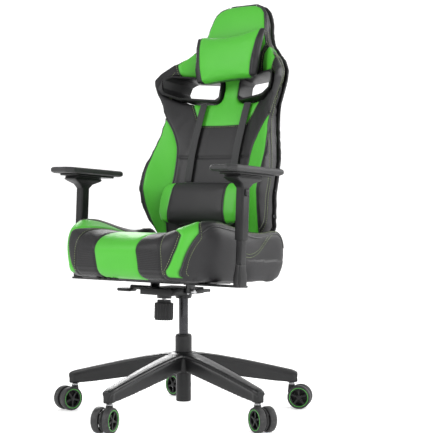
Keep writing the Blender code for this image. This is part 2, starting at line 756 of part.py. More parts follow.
# ---------------------------------------------------------------- pillows and straps
# Points round a pillow's cross-section: share of the half-width, share of the way from front to rear.
PILLOW_LOOP = [
    (-1.0, 0.5), (-0.92, 0.18), (-0.6, 0.03), (0.0, 0.0), (0.6, 0.03), (0.92, 0.18),
    (1.0, 0.5), (0.92, 0.82), (0.6, 0.97), (0.0, 1.0), (-0.6, 0.97), (-0.92, 0.82),
]
NECK_REAR, NECK_DEPTH, LUMBAR_REAR, LUMBAR_DEPTH = 0.0445, 0.052, 0.0600, 0.050
NECK_CENTRE_X, NECK_CENTRE_S, NECK_ROLL = 0.020, 0.606, math.radians(4)
# Each cross-section: height, half-width, share of the full depth, rise of the ends over the middle.
NECK_SECTIONS = [
    (0.534, 0.078, 0.5, -0.002), (0.542, 0.106, 0.85, -0.002), (0.575, 0.118, 1.0, 0.0),
    (0.610, 0.119, 1.0, 0.001), (0.642, 0.122, 0.95, 0.004), (0.664, 0.121, 0.75, 0.009),
    (0.674, 0.100, 0.4, 0.010),
]
LUMBAR_SECTIONS = [
    (0.072, 0.120, 0.5, 0.0), (0.082, 0.150, 0.8, 0.0), (0.110, 0.160, 1.0, 0.0), (0.150, 0.162, 1.0, 0.0),
    (0.185, 0.158, 0.9, 0.0), (0.202, 0.148, 0.7, 0.0), (0.212, 0.120, 0.4, 0.0),
]


def pillow_section(section, rear, depth):
    """A pillow's cross-section at one height, thick in the middle and thin at its ends."""
    s, half_width, fullness, rise = section
    front = rear + depth * fullness
    return [(u * half_width, -(front + (rear - front) * v), s + rise * u * u) for u, v in PILLOW_LOOP]


def pillows():
    centre = Vector((NECK_CENTRE_X, 0.0, NECK_CENTRE_S))
    lower = Matrix.Translation((0.0, 0.0, -NECK_CENTRE_S))
    roll = Matrix.Translation(centre) @ Matrix.Rotation(-NECK_ROLL, 4, "Y") @ lower
    sections = []
    for section in NECK_SECTIONS:
        sections.append([roll @ Vector(point) for point in pillow_section(section, NECK_REAR, NECK_DEPTH)])
    place("neck_pillow", loft(sections), green_leather(), BACK_DATUM, smooth=True)
    sections = [pillow_section(section, LUMBAR_REAR, LUMBAR_DEPTH) for section in LUMBAR_SECTIONS]
    place("lumbar_pillow", loft(sections), black_leather(), BACK_DATUM, smooth=True)


def strap_on_back(name, centre_x, half, heights, lift):
    """A flat webbing strap lying on the front of the back cushion."""
    sections = []
    for s in heights:
        n = max(back_front(centre_x - half, s), back_front(centre_x + half, s)) + lift
        sections.append([
            (centre_x - half, -n, s), (centre_x + half, -n, s), (centre_x + half, -n - 0.002, s),
            (centre_x - half, -n - 0.002, s),
        ])
    return place(name, loft(sections), black_webbing(), BACK_DATUM)


def straps():
    heights = (0.2150, 0.250, 0.300, 0.350, 0.400, 0.440, 0.470)
    for side, sign in mirrored():
        strap_on_back(f"lumbar_strap_{side}", sign * 0.086, 0.013, heights, 0.0055)
    # The neck pillow's elastic band runs behind the back cushion from one opening to the other.
    sections = []
    for x in (-0.150, -0.100, -0.050, 0.0, 0.050, 0.100, 0.150):
        n = back_rear(x, 0.575) - 0.007
        sections.append([(x, -n, 0.558), (x, -n, 0.592), (x, -n + 0.002, 0.592), (x, -n + 0.002, 0.558)])
    place("neck_pillow_band", loft(sections), black_webbing(), BACK_DATUM)


# ---------------------------------------------------------------- armrests
def rectangle(cx, cy, half_x, half_y, z, chamfer=0.004):
    """A loop with its corners cut, level at z."""
    a, b = half_x, half_y
    c = min(chamfer, 0.4 * a, 0.4 * b)
    return [
        (cx + a, cy - b + c, z), (cx + a, cy + b - c, z), (cx + a - c, cy + b, z), (cx - a + c, cy + b, z),
        (cx - a, cy + b - c, z), (cx - a, cy - b + c, z), (cx - a + c, cy - b, z), (cx + a - c, cy - b, z),
    ]


def armrests():
    for side, sign in mirrored():
        x, y = sign * ARM_X, ARM_Y
        # An L bracket comes out from under the seat and turns up into a flared foot.
        foot = [
            (0.3955, 0.0120, 0.0190), (0.4250, 0.0130, 0.0185), (0.4460, 0.0110, 0.0150),
            (0.4600, 0.0105, 0.0138),
        ]
        bracket = place(
            f"armrest_bracket_{side}", loft([rectangle(x, y, a, b, z) for z, a, b in foot]), black_steel(),
            SEAT_DATUM
        )
        leg = place(
            f"cut_bracket_leg_{side}",
            block((sign * 0.125, y - 0.024, 0.3955), (x + sign * 0.010, y + 0.024, 0.4015)), None,
            SEAT_DATUM,
        )
        cut(bracket, leg, "UNION")
        place(
            f"armrest_post_{side}",
            loft([rectangle(x, y, 0.0098, 0.0130, z, 0.003) for z in (0.4603, 0.5850)]), black_steel(),
            SEAT_DATUM
        )

        head = [
            (0.5270, 0.0135, 0.0172), (0.6720, 0.0135, 0.0172), (0.6840, 0.0170, 0.0280),
            (0.6930, 0.0230, 0.0520), (0.6990, 0.0260, 0.0620),
        ]
        sleeve = place(
            f"armrest_sleeve_{side}", loft([rectangle(x, y, a, b, z) for z, a, b in head]),
            black_plastic(), SEAT_DATUM
        )
        hollow = place(
            f"cut_sleeve_{side}",
            loft([rectangle(x, y, 0.0101, 0.0133, z, 0.003) for z in (0.50, 0.6450)]), None, SEAT_DATUM
        )
        cut(sleeve, hollow)
        # The height button sits in a pocket in the sleeve's outer face.
        pocket = place(
            f"cut_button_pocket_{side}",
            block((x + sign * 0.0075, y - 0.0083, 0.6500), (x + sign * 0.0200, y + 0.0083, 0.6680)), None,
            SEAT_DATUM,
        )
        cut(sleeve, pocket)
        place(
            f"armrest_height_button_{side}",
            block((x + sign * 0.0108, y - 0.0080, 0.6503), (x + sign * 0.0172, y + 0.0080, 0.6677)),
            black_plastic(), SEAT_DATUM,
        )

        place(
            f"armrest_lateral_plate_{side}",
            block((x - 0.024, y - 0.055, 0.6993), (x + 0.024, y + 0.055, 0.7033)), black_plastic(),
            SEAT_DATUM,
        )
        place(
            f"armrest_track_{side}", block((x - 0.028, y - 0.050, 0.7036), (x + 0.028, y + 0.050, 0.7076)),
            black_plastic(), SEAT_DATUM,
        )
        place(
            f"armrest_pad_base_{side}",
            loft([rectangle(x, y + 0.017, 0.036, 0.095, z, 0.020) for z in (0.7079, 0.7135)]),
            black_plastic(), SEAT_DATUM
        )
        half_w, half_l, centre = PAD_WIDTH / 2, PAD_LENGTH / 2, y + 0.017
        shape = [
            (0.7138, 0.042, 0.118, 0.022), (0.7175, half_w, half_l, 0.028),
            (0.7270, half_w, half_l, 0.028), (0.7315, 0.044, 0.122, 0.024),
        ]
        place(
            f"armrest_pad_{side}", loft([rectangle(x, centre, a, b, z, c) for z, a, b, c in shape]),
            black_plastic(), SEAT_DATUM, smooth=True
        )


base_star()
casters()
gas_lift()
tilt_mechanism()
seat_supports()
seat_cushion()
backrest()
recline_hinges()
pillows()
straps()
armrests()
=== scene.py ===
"""Racing-style gaming chair: the looks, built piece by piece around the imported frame."""

import json
import math

import bmesh
import bpy
import numpy as np
from mathutils import Matrix, Vector


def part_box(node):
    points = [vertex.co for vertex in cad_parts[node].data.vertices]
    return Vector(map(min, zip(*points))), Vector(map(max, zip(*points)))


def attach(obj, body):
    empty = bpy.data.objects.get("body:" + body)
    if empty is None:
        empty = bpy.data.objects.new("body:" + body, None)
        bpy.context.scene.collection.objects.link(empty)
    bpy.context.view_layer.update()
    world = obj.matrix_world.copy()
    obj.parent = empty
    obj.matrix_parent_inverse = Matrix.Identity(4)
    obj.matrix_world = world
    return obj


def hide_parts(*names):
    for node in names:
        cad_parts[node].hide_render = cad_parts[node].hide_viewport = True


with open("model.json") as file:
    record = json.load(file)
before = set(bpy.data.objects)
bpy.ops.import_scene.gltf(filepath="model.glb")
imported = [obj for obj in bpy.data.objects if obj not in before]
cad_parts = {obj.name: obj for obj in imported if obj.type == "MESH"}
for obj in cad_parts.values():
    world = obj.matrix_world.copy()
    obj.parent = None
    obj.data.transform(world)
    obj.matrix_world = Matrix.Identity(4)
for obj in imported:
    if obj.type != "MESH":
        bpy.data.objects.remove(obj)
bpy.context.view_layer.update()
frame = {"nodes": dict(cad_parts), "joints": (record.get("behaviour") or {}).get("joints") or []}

# ---------------------------------------------------------------- floor, light and camera
# A pale sweep that rises behind the chair, two large soft lamps in front, two strips behind that
# edge the black pieces, and a camera at standing distance, a little above the armrests.
SWEEP_HALF_WIDTH, SWEEP_FRONT, SWEEP_REAR, SWEEP_HEIGHT = 9.0, -8.0, 5.0, 7.0
SWEEP_CURVE = 2.5
CAMERA_PLACE = Vector((2.4848, -2.9537, 0.666))
CAMERA_FORWARD = Vector((-0.62312, 0.78189, -0.01914))
SENSOR_WIDTH, LENS = 36.0, 108.6
LAMP_TARGET = Vector((0.0, 0.0, 0.65))

bpy.ops.object.select_all(action="DESELECT")
bpy.ops.mesh.primitive_plane_add(size=2, location=(0, 0, 0))
sweep = bpy.context.object
sweep.name = "studio_sweep"
for vert in sweep.data.vertices:
    vert.co.x *= SWEEP_HALF_WIDTH
    vert.co.y = SWEEP_FRONT if vert.co.y < 0 else SWEEP_REAR
bpy.ops.object.mode_set(mode="EDIT")
shape = bmesh.from_edit_mesh(sweep.data)
for edge in shape.edges:
    edge.select = all(vert.co.y > 0 for vert in edge.verts)
bmesh.update_edit_mesh(sweep.data)
bpy.ops.mesh.select_mode(type="EDGE")
bpy.ops.mesh.extrude_region_move(TRANSFORM_OT_translate={"value": (0, 0, SWEEP_HEIGHT)})
for edge in bmesh.from_edit_mesh(sweep.data).edges:
    edge.select = all(vert.co.y > 0 and vert.co.z < 0.1 for vert in edge.verts)
bpy.ops.mesh.bevel(offset=SWEEP_CURVE, segments=16)
bpy.ops.object.mode_set(mode="OBJECT")
bpy.ops.object.shade_smooth()
paper = bpy.data.materials.new("studio_paper")
paper.use_nodes = True
paper_shader = paper.node_tree.nodes["Principled BSDF"]
paper_shader.inputs["Base Color"].default_value = (0.93, 0.93, 0.93, 1.0)
paper_shader.inputs["Roughness"].default_value = 0.9
paper_shader.inputs["Emission Color"].default_value = (1.0, 1.0, 1.0, 1.0)
paper_shader.inputs["Emission Strength"].default_value = 0.32
sweep.data.materials.append(paper)

scene = bpy.context.scene
scene.view_settings.view_transform = "Standard"
scene.world = bpy.data.worlds.new("studio_air")
scene.world.use_nodes = True
scene.world.node_tree.nodes["Background"].inputs["Color"].default_value = (1.0, 1.0, 1.0, 1.0)
scene.world.node_tree.nodes["Background"].inputs["Strength"].default_value = 0.62


def lamp(name, place, size, power):
    """A soft square lamp that faces the chair."""
    light = bpy.data.lights.new(name, "AREA")
    light.size = size
    light.energy = power
    stand = bpy.data.objects.new(name, light)
    stand.location = place
    stand.rotation_euler = (LAMP_TARGET - Vector(place)).to_track_quat("-Z", "Y").to_euler()
    scene.collection.objects.link(stand)


lamp("key_lamp", (-1.6, -3.6, 2.6), 1.8, 95)
lamp("fill_lamp", (3.6, -1.2, 1.9), 2.2, 60)
lamp("rear_left_strip", (-2.8, 2.2, 2.2), 1.2, 60)
lamp("rear_right_strip", (2.2, 2.6, 2.0), 1.2, 60)

camera_data = bpy.data.cameras.new("camera")
camera_data.sensor_width = SENSOR_WIDTH
camera_data.lens = LENS
camera = bpy.data.objects.new("camera", camera_data)
camera.location = CAMERA_PLACE
camera.rotation_euler = CAMERA_FORWARD.to_track_quat("-Z", "Y").to_euler()
scene.collection.objects.link(camera)
scene.camera = camera

# ---------------------------------------------------------------- five-star base
# One aluminium casting with five arms, their tops wider at the hub than at the tips, tumbled
# smooth and powder-coated satin black. The casters plug into sockets under the tips.
ARM_ANGLES = (130, 202, 274, 346, 58)
ARM_REACHES = (0.018, 0.060, 0.110, 0.200, 0.290, 0.350, 0.366)
ARM_HALF_WIDTHS = (0.030, 0.027, 0.0245, 0.0215, 0.0185, 0.0170, 0.0145)
ARM_TOPS = (0.1865, 0.1835, 0.1750, 0.1560, 0.1345, 0.1195, 0.1130)
ARM_FEET = (0.1320, 0.1270, 0.1180, 0.1020, 0.0870, 0.0795, 0.0790)
COAT_BLACK = (0.0050, 0.0050, 0.0056, 1.0)
COAT_DUSTY = (0.0120, 0.0120, 0.0128, 1.0)
BASE_VOXEL, HUB_BORE = 0.0030, 0.0222


class Value:
    """A shader socket that takes part in Python arithmetic."""

    def __init__(self, tree, socket):
        self.tree = tree
        self.socket = socket

    def maths(self, operation, first, second):
        node = self.tree.nodes.new("ShaderNodeMath")
        node.operation = operation
        for socket, value in zip(node.inputs, (first, second)):
            if isinstance(value, Value):
                self.tree.links.new(value.socket, socket)
            else:
                socket.default_value = value
        return Value(self.tree, node.outputs[0])

    def __add__(self, other):
        return self.maths("ADD", self, other)

    def __sub__(self, other):
        return self.maths("SUBTRACT", self, other)

    def __rsub__(self, other):
        return self.maths("SUBTRACT", other, self)

    def __mul__(self, other):
        return self.maths("MULTIPLY", self, other)

    def __truediv__(self, other):
        return self.maths("DIVIDE", self, other)

    __radd__ = __add__
    __rmul__ = __mul__


class Finish:
    """A material on a Principled shader, built a node at a time."""

    def __init__(self, name, **constants):
        self.material = bpy.data.materials.new(name)
        self.material.use_nodes = True
        self.tree = self.material.node_tree
        self.shader = self.tree.nodes["Principled BSDF"]
        for key, value in constants.items():
            self.shader.inputs[key.replace("_", " ").title().replace("Ior", "IOR")].default_value = value

    def node(self, kind, settings, sockets, output):
        made = self.tree.nodes.new(kind)
        for key, value in settings.items():
            setattr(made, key, value)
        for key, value in sockets.items():
            self.join([s for s in made.inputs if key in (s.identifier, s.name)][0], value)
        return Value(self.tree, [s for s in made.outputs if output in (s.identifier, s.name)][0])

    def join(self, socket, value):
        if isinstance(value, Value):
            self.tree.links.new(value.socket, socket)
        else:
            socket.default_value = value

    def show(self, **sockets):
        for key, value in sockets.items():
            self.join(self.shader.inputs[key.replace("_", " ").title()], value)
        return self.material

    def place(self):
        return self.node("ShaderNodeTexCoord", {}, {}, "Object")

    def noise(self, where, scale, detail=3.0):
        return self.node(
            "ShaderNodeTexNoise", {}, {"Vector": where, "Scale": scale, "Detail": detail}, "Fac",
        )

    def between(self, value, low, high, first=0.0, last=1.0):
        settings = {"interpolation_type": "SMOOTHSTEP"}
        ends = {"From Min": low, "From Max": high, "To Min": first, "To Max": last}
        return self.node("ShaderNodeMapRange", settings, {"Value": value, **ends}, "Result")

    def blend(self, share, first, second):
        sockets = {"Factor_Float": share, "A_Color": first, "B_Color": second}
        return self.node("ShaderNodeMix", {"data_type": "RGBA"}, sockets, "Result_Color")

    def relief(self, height, depth, strength=1.0):
        sockets = {"Height": height, "Distance": depth, "Strength": strength}
        return self.node("ShaderNodeBump", {}, sockets, "Normal")


def powder_coat():
    """Satin black powder coat: fine orange peel, with a little dust in random patches."""
    if "powder_coat" in bpy.data.materials:
        return bpy.data.materials["powder_coat"]
    coat = Finish("powder_coat", specular_ior_level=0.35, coat_weight=0.06, coat_roughness=0.35)
    where = coat.place()
    peel = coat.noise(where, 900.0, 2.0)
    patches = coat.noise(where, 14.0, 4.0)
    colour = coat.blend(coat.between(patches, 0.35, 0.75, 0.0, 0.6), COAT_BLACK, COAT_DUSTY)
    rough = 0.30 + patches * 0.14 + peel * 0.05
    return coat.show(base_color=colour, roughness=rough, normal=coat.relief(peel, 0.0004, 0.35))


def apply_modifiers(piece):
    """Applies every modifier in turn."""
    bpy.ops.object.select_all(action="DESELECT")
    bpy.context.view_layer.objects.active = piece
    piece.select_set(True)
    for modifier in list(piece.modifiers):
        bpy.ops.object.modifier_apply(modifier=modifier.name)
    return piece


def add_modifier(piece, kind, **settings):
    modifier = piece.modifiers.new(kind.lower(), kind)
    for key, value in settings.items():
        setattr(modifier, key, value)
    return piece


def new_piece(name, shape, material=None):
    """A piece from a bmesh, at the origin."""
    mesh = bpy.data.meshes.new(name)
    shape.to_mesh(mesh)
    shape.free()
    piece = bpy.data.objects.new(name, mesh)
    scene.collection.objects.link(piece)
    if material:
        mesh.materials.append(material)
    return piece


def skin_over(sections):
    """A closed surface through equal rings of points, with flat ends."""
    shape = bmesh.new()
    rings = [[shape.verts.new(point) for point in section] for section in sections]
    count = len(rings[0])
    for lower, upper in zip(rings, rings[1:]):
        for i in range(count):
            j = (i + 1) % count
            shape.faces.new((lower[i], lower[j], upper[j], upper[i]))
    shape.faces.new(list(reversed(rings[0])))
    shape.faces.new(rings[-1])
    bmesh.ops.recalc_face_normals(shape, faces=shape.faces)
    return shape


def melt(piece, voxel, rounds, factor=0.5):
    """Joins what overlaps into one skin and rounds its edges, as a casting or a moulding has them."""
    add_modifier(piece, "REMESH", mode="VOXEL", voxel_size=voxel)
    add_modifier(piece, "SMOOTH", factor=factor, iterations=rounds)
    apply_modifiers(piece)
    piece.data.shade_smooth()
    return piece


def join(pieces, name):
    """Several objects made one, which takes the name."""
    bpy.ops.object.select_all(action="DESELECT")
    for piece in pieces:
        piece.select_set(True)
    bpy.context.view_layer.objects.active = pieces[0]
    bpy.ops.object.join()
    pieces[0].name = name
    return pieces[0]


def put_on(piece, body, slot, *nodes):
    """The piece rides on a body and stands for the CAD nodes named, which are hidden; the slot is not used."""
    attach(piece, body)
    if nodes:
        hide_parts(*nodes)
    return piece


low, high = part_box("gas_lift_tube")
COLUMN = Vector(((low.x + high.x) / 2, (low.y + high.y) / 2, 0.0))
hub_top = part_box("base_star")[1].z


def round_bar(name, start, end, radius, end_radius=None, sides=32, material=None):
    """A round bar or cone between two points."""
    start, end = Vector(start), Vector(end)
    bpy.ops.object.select_all(action="DESELECT")
    bpy.ops.mesh.primitive_cone_add(
        vertices=sides, radius1=radius, radius2=radius if end_radius is None else end_radius,
        depth=(end - start).length, location=(start + end) / 2,
        rotation=(end - start).to_track_quat("Z", "Y").to_euler(),
    )
    bpy.ops.object.transform_apply(location=True, rotation=True, scale=True)
    piece = bpy.context.object
    piece.name = name
    if material:
        piece.data.materials.append(material)
    return piece


def star_arm(angle):
    sections = []
    for reach, half, top, foot in zip(ARM_REACHES, ARM_HALF_WIDTHS, ARM_TOPS, ARM_FEET):
        waist = half * 0.72
        sections.append([
            (reach, -waist, foot), (reach, waist, foot), (reach, waist, top - 0.017),
            (reach, half, top - 0.010),
            (reach, half * 0.80, top - 0.002), (reach, 0.0, top), (reach, -half * 0.80, top - 0.002),
            (reach, -half, top - 0.010), (reach, -waist, top - 0.017),
        ])
    shape = skin_over(sections)
    turn = Matrix.Translation(COLUMN) @ Matrix.Rotation(math.radians(angle), 4, "Z")
    bmesh.ops.transform(shape, matrix=turn, verts=shape.verts)
    return new_piece(f"arm_{angle}", shape)


def shade(piece, degrees=35):
    """Smooth shading that keeps edges sharper than the angle."""
    bpy.ops.object.select_all(action="DESELECT")
    bpy.context.view_layer.objects.active = piece
    piece.select_set(True)
    bpy.ops.object.shade_smooth_by_angle(angle=math.radians(degrees))
    return piece


hub = round_bar("hub", COLUMN + Vector((0, 0, 0.131)), COLUMN + Vector((0, 0, hub_top)), 0.046, 0.0395, 48)
sockets = []
for angle in ARM_ANGLES:
    turn = math.radians(angle)
    tip = COLUMN + Vector((math.cos(turn), math.sin(turn), 0)) * 0.350
    sockets.append(round_bar(
        "socket", tip + Vector((0, 0, 0.0785)), tip + Vector((0, 0, 0.112)), 0.0128, 0.0150, 24,
    ))
base = join([hub, *[star_arm(angle) for angle in ARM_ANGLES], *sockets], "star_base")
melt(base, BASE_VOXEL, 4)
bore = round_bar("bore", COLUMN + Vector((0, 0, 0.05)), COLUMN + Vector((0, 0, 0.25)), HUB_BORE, sides=48)
add_modifier(base, "BOOLEAN", object=bore, operation="DIFFERENCE", solver="EXACT")
apply_modifiers(base)
bpy.data.objects.remove(bore)
shade(base)
base.data.materials.append(powder_coat())
put_on(base, "base", "black_steel", "base_star")

# ---------------------------------------------------------------- casters
# Each caster is a moulded fork with a hood over its axle and two hollow-spoked wheels: a black
# tread, a thin green ring pressed into the rim, and five plastic spokes. The stem clips into the arm.
CASTER_HEADINGS = (170, 260, 285, 338, 26)
WHEEL_RADIUS, WHEEL_HALF_WIDTH, WHEEL_OFFSET, CASTER_TRAIL = 0.0360, 0.0105, 0.0170, 0.0260
TREAD_BLACK, TREAD_WORN = (0.018, 0.018, 0.019, 1.0), (0.050, 0.049, 0.047, 1.0)
RING_GREEN, RING_DEEP = (0.075, 0.420, 0.050, 1.0), (0.040, 0.270, 0.030, 1.0)
PLASTIC_BLACK, PLASTIC_GREY = (0.0055, 0.0055, 0.0060, 1.0), (0.0125, 0.0125, 0.0132, 1.0)


def tread_rubber():
    """Hard polyurethane tread: dull, scuffed paler in random patches."""
    rubber = Finish("tread_rubber")
    where = rubber.place()
    scuff = rubber.noise(where, 120.0, 5.0)
    colour = rubber.blend(rubber.between(scuff, 0.45, 0.75, 0.0, 0.7), TREAD_BLACK, TREAD_WORN)
    return rubber.show(
        base_color=colour, roughness=0.48 + scuff * 0.2, normal=rubber.relief(scuff, 0.0004, 0.4),
    )


def ring_paint():
    """Bright green moulded ring with a soft gloss."""
    paint = Finish("ring_paint", coat_weight=0.3, coat_roughness=0.15)
    cloud = paint.noise(paint.place(), 60.0, 3.0)
    return paint.show(base_color=paint.blend(cloud, RING_GREEN, RING_DEEP), roughness=0.30 + cloud * 0.12)


def moulded_plastic():
    """Black nylon with the fine spark-eroded grain of its mould."""
    if "moulded_plastic" in bpy.data.materials:
        return bpy.data.materials["moulded_plastic"]
    nylon = Finish("moulded_plastic", specular_ior_level=0.35)
    where = nylon.place()
    grain = nylon.noise(where, 1400.0, 2.0)
    patches = nylon.noise(where, 22.0, 4.0)
    colour = nylon.blend(nylon.between(patches, 0.3, 0.8, 0.0, 0.7), PLASTIC_BLACK, PLASTIC_GREY)
    return nylon.show(
        base_color=colour, roughness=0.36 + patches * 0.16, normal=nylon.relief(grain, 0.0003, 0.5),
    )


def turned(name, profile, steps, material=None, at=(0, 0, 0)):
    """A turned piece about an upright axis from (radius, height) points; a profile off the axis is closed."""
    shape = bmesh.new()
    verts = [shape.verts.new((radius, 0, height)) for radius, height in profile]
    on_axis = profile[0][0] == 0
    for first, second in zip(verts, verts[1:] if on_axis else verts[1:] + verts[:1]):
        shape.edges.new((first, second))
    piece = new_piece(name, shape, material)
    add_modifier(
        piece, "SCREW", steps=steps, render_steps=steps, use_merge_vertices=True, merge_threshold=0.00002,
        use_smooth_shade=True,
    )
    apply_modifiers(piece)
    outwards(piece)
    piece.data.transform(Matrix.Translation(at))
    return piece


def outwards(piece):
    """Merges doubles and turns every face outwards."""
    shape = bmesh.new()
    shape.from_mesh(piece.data)
    bmesh.ops.remove_doubles(shape, verts=shape.verts, dist=0.00001)
    bmesh.ops.recalc_face_normals(shape, faces=shape.faces)
    shape.to_mesh(piece.data)
    shape.free()


def moved(piece, matrix, name=None):
    """The piece's mesh carried by a matrix, with its object left at the origin."""
    piece.data.transform(matrix)
    if matrix.determinant() < 0:
        piece.data.flip_normals()
    if name:
        piece.name = name
    return piece


def copied(piece, matrix, name):
    twin = piece.copy()
    twin.data = piece.data.copy()
    scene.collection.objects.link(twin)
    return moved(twin, matrix, name)


def soft_box(name, low, high, bevel, segments=3, material=None):
    """A box between two corners with rounded edges."""
    low, high = Vector(map(min, low, high)), Vector(map(max, low, high))
    bpy.ops.object.select_all(action="DESELECT")
    bpy.ops.mesh.primitive_cube_add(size=1, location=(low + high) / 2, scale=high - low)
    bpy.ops.object.transform_apply(location=True, rotation=True, scale=True)
    piece = bpy.context.object
    piece.name = name
    add_modifier(piece, "BEVEL", width=bevel, segments=segments, limit_method="NONE")
    apply_modifiers(piece)
    if material:
        piece.data.materials.append(material)
    return shade(piece)


# The wheel is drawn with its axle along Z and its outer face up, then turned into place.
R, H = WHEEL_RADIUS, WHEEL_HALF_WIDTH
tread = turned("tread", [
    (R - 0.0065, H - 0.0010), (R - 0.0045, H), (R - 0.0025, H - 0.0004), (R - 0.0008, H - 0.0022),
    (R, H - 0.0050),
    (R, -H + 0.0050), (R - 0.0008, -H + 0.0022), (R - 0.0030, -H), (R - 0.0065, -H + 0.0005),
], 56, tread_rubber())
ring = turned("ring", [
    (R - 0.0088, H - 0.0016), (R - 0.0080, H - 0.0002), (R - 0.0070, H - 0.0002), (R - 0.0062, H - 0.0016),
    (R - 0.0075, H - 0.0030),
], 56, ring_paint())
rim = turned("rim", [
    (R - 0.0120, H - 0.0040), (R - 0.0090, H - 0.0016), (R - 0.0060, H - 0.0018), (R - 0.0060, -H + 0.0010),
    (R - 0.0095, -H + 0.0010),
    (R - 0.0120, -H + 0.0060),
], 56)
cap = turned("cap", [
    (0, H - 0.0010), (0.0040, H - 0.0012), (0.0068, H - 0.0024), (0.0078, H - 0.0050),
    (0.0078, -H + 0.0020), (0, -H + 0.0020),
], 32)
spokes = []
for i in range(5):
    spoke = soft_box("spoke", (0.0060, -0.0030, H - 0.0105), (R - 0.0100, 0.0030, H - 0.0035), 0.0011, 2)
    spokes.append(moved(spoke, Matrix.Rotation(math.radians(72 * i + 18), 4, "Z")))
rim = join([rim, cap, *spokes], "rim")
rim.data.materials.clear()
rim.data.materials.append(moulded_plastic())
shade(rim)

fork_web = soft_box("web", (-0.0100, -0.0040, 0.0270), (0.0420, 0.0040, 0.0560), 0.0036, 3)
hood = turned(
    "hood",
    [(0.0, 0.0048), (0.0295, 0.0048), (0.0315, 0.0030), (0.0315, -0.0030), (0.0295, -0.0048), (0, -0.0048)],
    40,
)
moved(hood, Matrix.Translation((CASTER_TRAIL, 0, WHEEL_RADIUS)) @ Matrix.Rotation(math.radians(90), 4, "X"))
neck = round_bar("neck", (0, 0, 0.048), (0, 0, 0.0745), 0.0125, 0.0098, 28)
brow = soft_box("brow", (-0.0110, -0.0050, 0.0470), (0.0300, 0.0050, 0.0690), 0.0045, 3)
fork = join([fork_web, hood, neck, brow], "fork")
melt(fork, 0.0012, 3)
collar = turned(
    "collar", [(0.0, 0.0772), (0.0085, 0.0772), (0.0098, 0.0762), (0.0098, 0.0735), (0.0, 0.0735)], 32,
)
stem = round_bar("stem", (0, 0, 0.072), (0, 0, 0.104), 0.0055, sides=20)
axle = round_bar(
    "axle", (CASTER_TRAIL, -0.0225, WHEEL_RADIUS), (CASTER_TRAIL, 0.0225, WHEEL_RADIUS), 0.0038, sides=20,
)


def polished_steel():
    """Ground and polished steel with faint turning marks."""
    if "polished_steel" in bpy.data.materials:
        return bpy.data.materials["polished_steel"]
    steel = Finish("polished_steel", metallic=1.0)
    where = steel.place()
    marks = steel.noise(
        steel.node("ShaderNodeMapping", {}, {"Vector": where, "Scale": (40.0, 40.0, 900.0)}, "Vector"), 3.0,
        2.0,
    )
    colour = steel.blend(marks, (0.30, 0.30, 0.31, 1.0), (0.48, 0.48, 0.50, 1.0))
    return steel.show(base_color=colour, roughness=0.20 + marks * 0.12)


spindle = join([collar, stem, axle], "spindle")
spindle.data.materials.append(polished_steel())
shade(spindle)
fork.data.materials.append(moulded_plastic())
for number, (angle, heading) in enumerate(zip(ARM_ANGLES, CASTER_HEADINGS), 1):
    turn = math.radians(angle)
    stand = COLUMN + Vector((math.cos(turn), math.sin(turn), 0)) * 0.350
    stand = Matrix.Translation(stand) @ Matrix.Rotation(math.radians(heading), 4, "Z")
    put_on(
        copied(fork, stand, f"caster_hood_{number}"), f"caster_{number}", "black_plastic",
        f"caster_fork_{number}",
    )
    put_on(copied(spindle, stand, f"caster_spindle_{number}"), f"caster_{number}", "polished_steel")
    for letter, side in (("a", 1), ("b", -1)):
        hub_place = stand @ Matrix.Translation((CASTER_TRAIL, side * WHEEL_OFFSET, WHEEL_RADIUS))
        hub_place = hub_place @ Matrix.Rotation(-side * math.pi / 2, 4, "X")
        body = f"wheel_{number}{letter}"
        put_on(
            copied(tread, hub_place, f"caster_tread_{number}{letter}"), body, "wheel_rubber",
            f"caster_wheel_{number}{letter}",
        )
        put_on(copied(ring, hub_place, f"caster_ring_{number}{letter}"), body, "green_leather")
        put_on(copied(rim, hub_place, f"caster_rim_{number}{letter}"), body, "black_plastic")
for pattern in (tread, ring, rim, fork, spindle):
    bpy.data.objects.remove(pattern)

# ---------------------------------------------------------------- gas lift
# A drawn steel outer tube, painted satin black, tapers into the hub. The darkened piston slides in
# a nylon bush at its top and plugs into the tilt mechanism.
TUBE_RADIUS, TUBE_LOWER_RADIUS, PISTON_RADIUS = 0.0250, 0.0225, 0.0140
tube_low, tube_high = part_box("gas_lift_tube")
outer_tube = turned("gas_lift_outer_tube", [
    (PISTON_RADIUS + 0.0012, tube_high.z - 0.004), (TUBE_RADIUS - 0.0015, tube_high.z - 0.004),
    (TUBE_RADIUS, tube_high.z - 0.006),
    (TUBE_RADIUS, hub_top + 0.001), (TUBE_LOWER_RADIUS, hub_top - 0.002),
    (TUBE_LOWER_RADIUS, tube_low.z + 0.002),
    (TUBE_LOWER_RADIUS - 0.002, tube_low.z), (PISTON_RADIUS + 0.0012, tube_low.z),
], 64, powder_coat(), COLUMN)
put_on(shade(outer_tube), "base", "black_steel", "gas_lift_tube")
bush = turned("gas_lift_bush", [
    (PISTON_RADIUS + 0.0004, tube_high.z), (0.0205, tube_high.z), (0.0225, tube_high.z - 0.0015),
    (0.0225, tube_high.z - 0.0042),
    (PISTON_RADIUS + 0.0004, tube_high.z - 0.0042),
], 64, moulded_plastic(), COLUMN)
put_on(shade(bush), "base", "black_plastic")


def darkened_steel():
    """Nitrided piston steel: near black, with bright lengthwise reflections."""
    steel = Finish("darkened_steel", metallic=0.9)
    cloud = steel.noise(steel.place(), 30.0, 4.0)
    colour = steel.blend(cloud, (0.035, 0.035, 0.038, 1.0), (0.075, 0.075, 0.080, 1.0))
    return steel.show(base_color=colour, roughness=0.22 + cloud * 0.10)


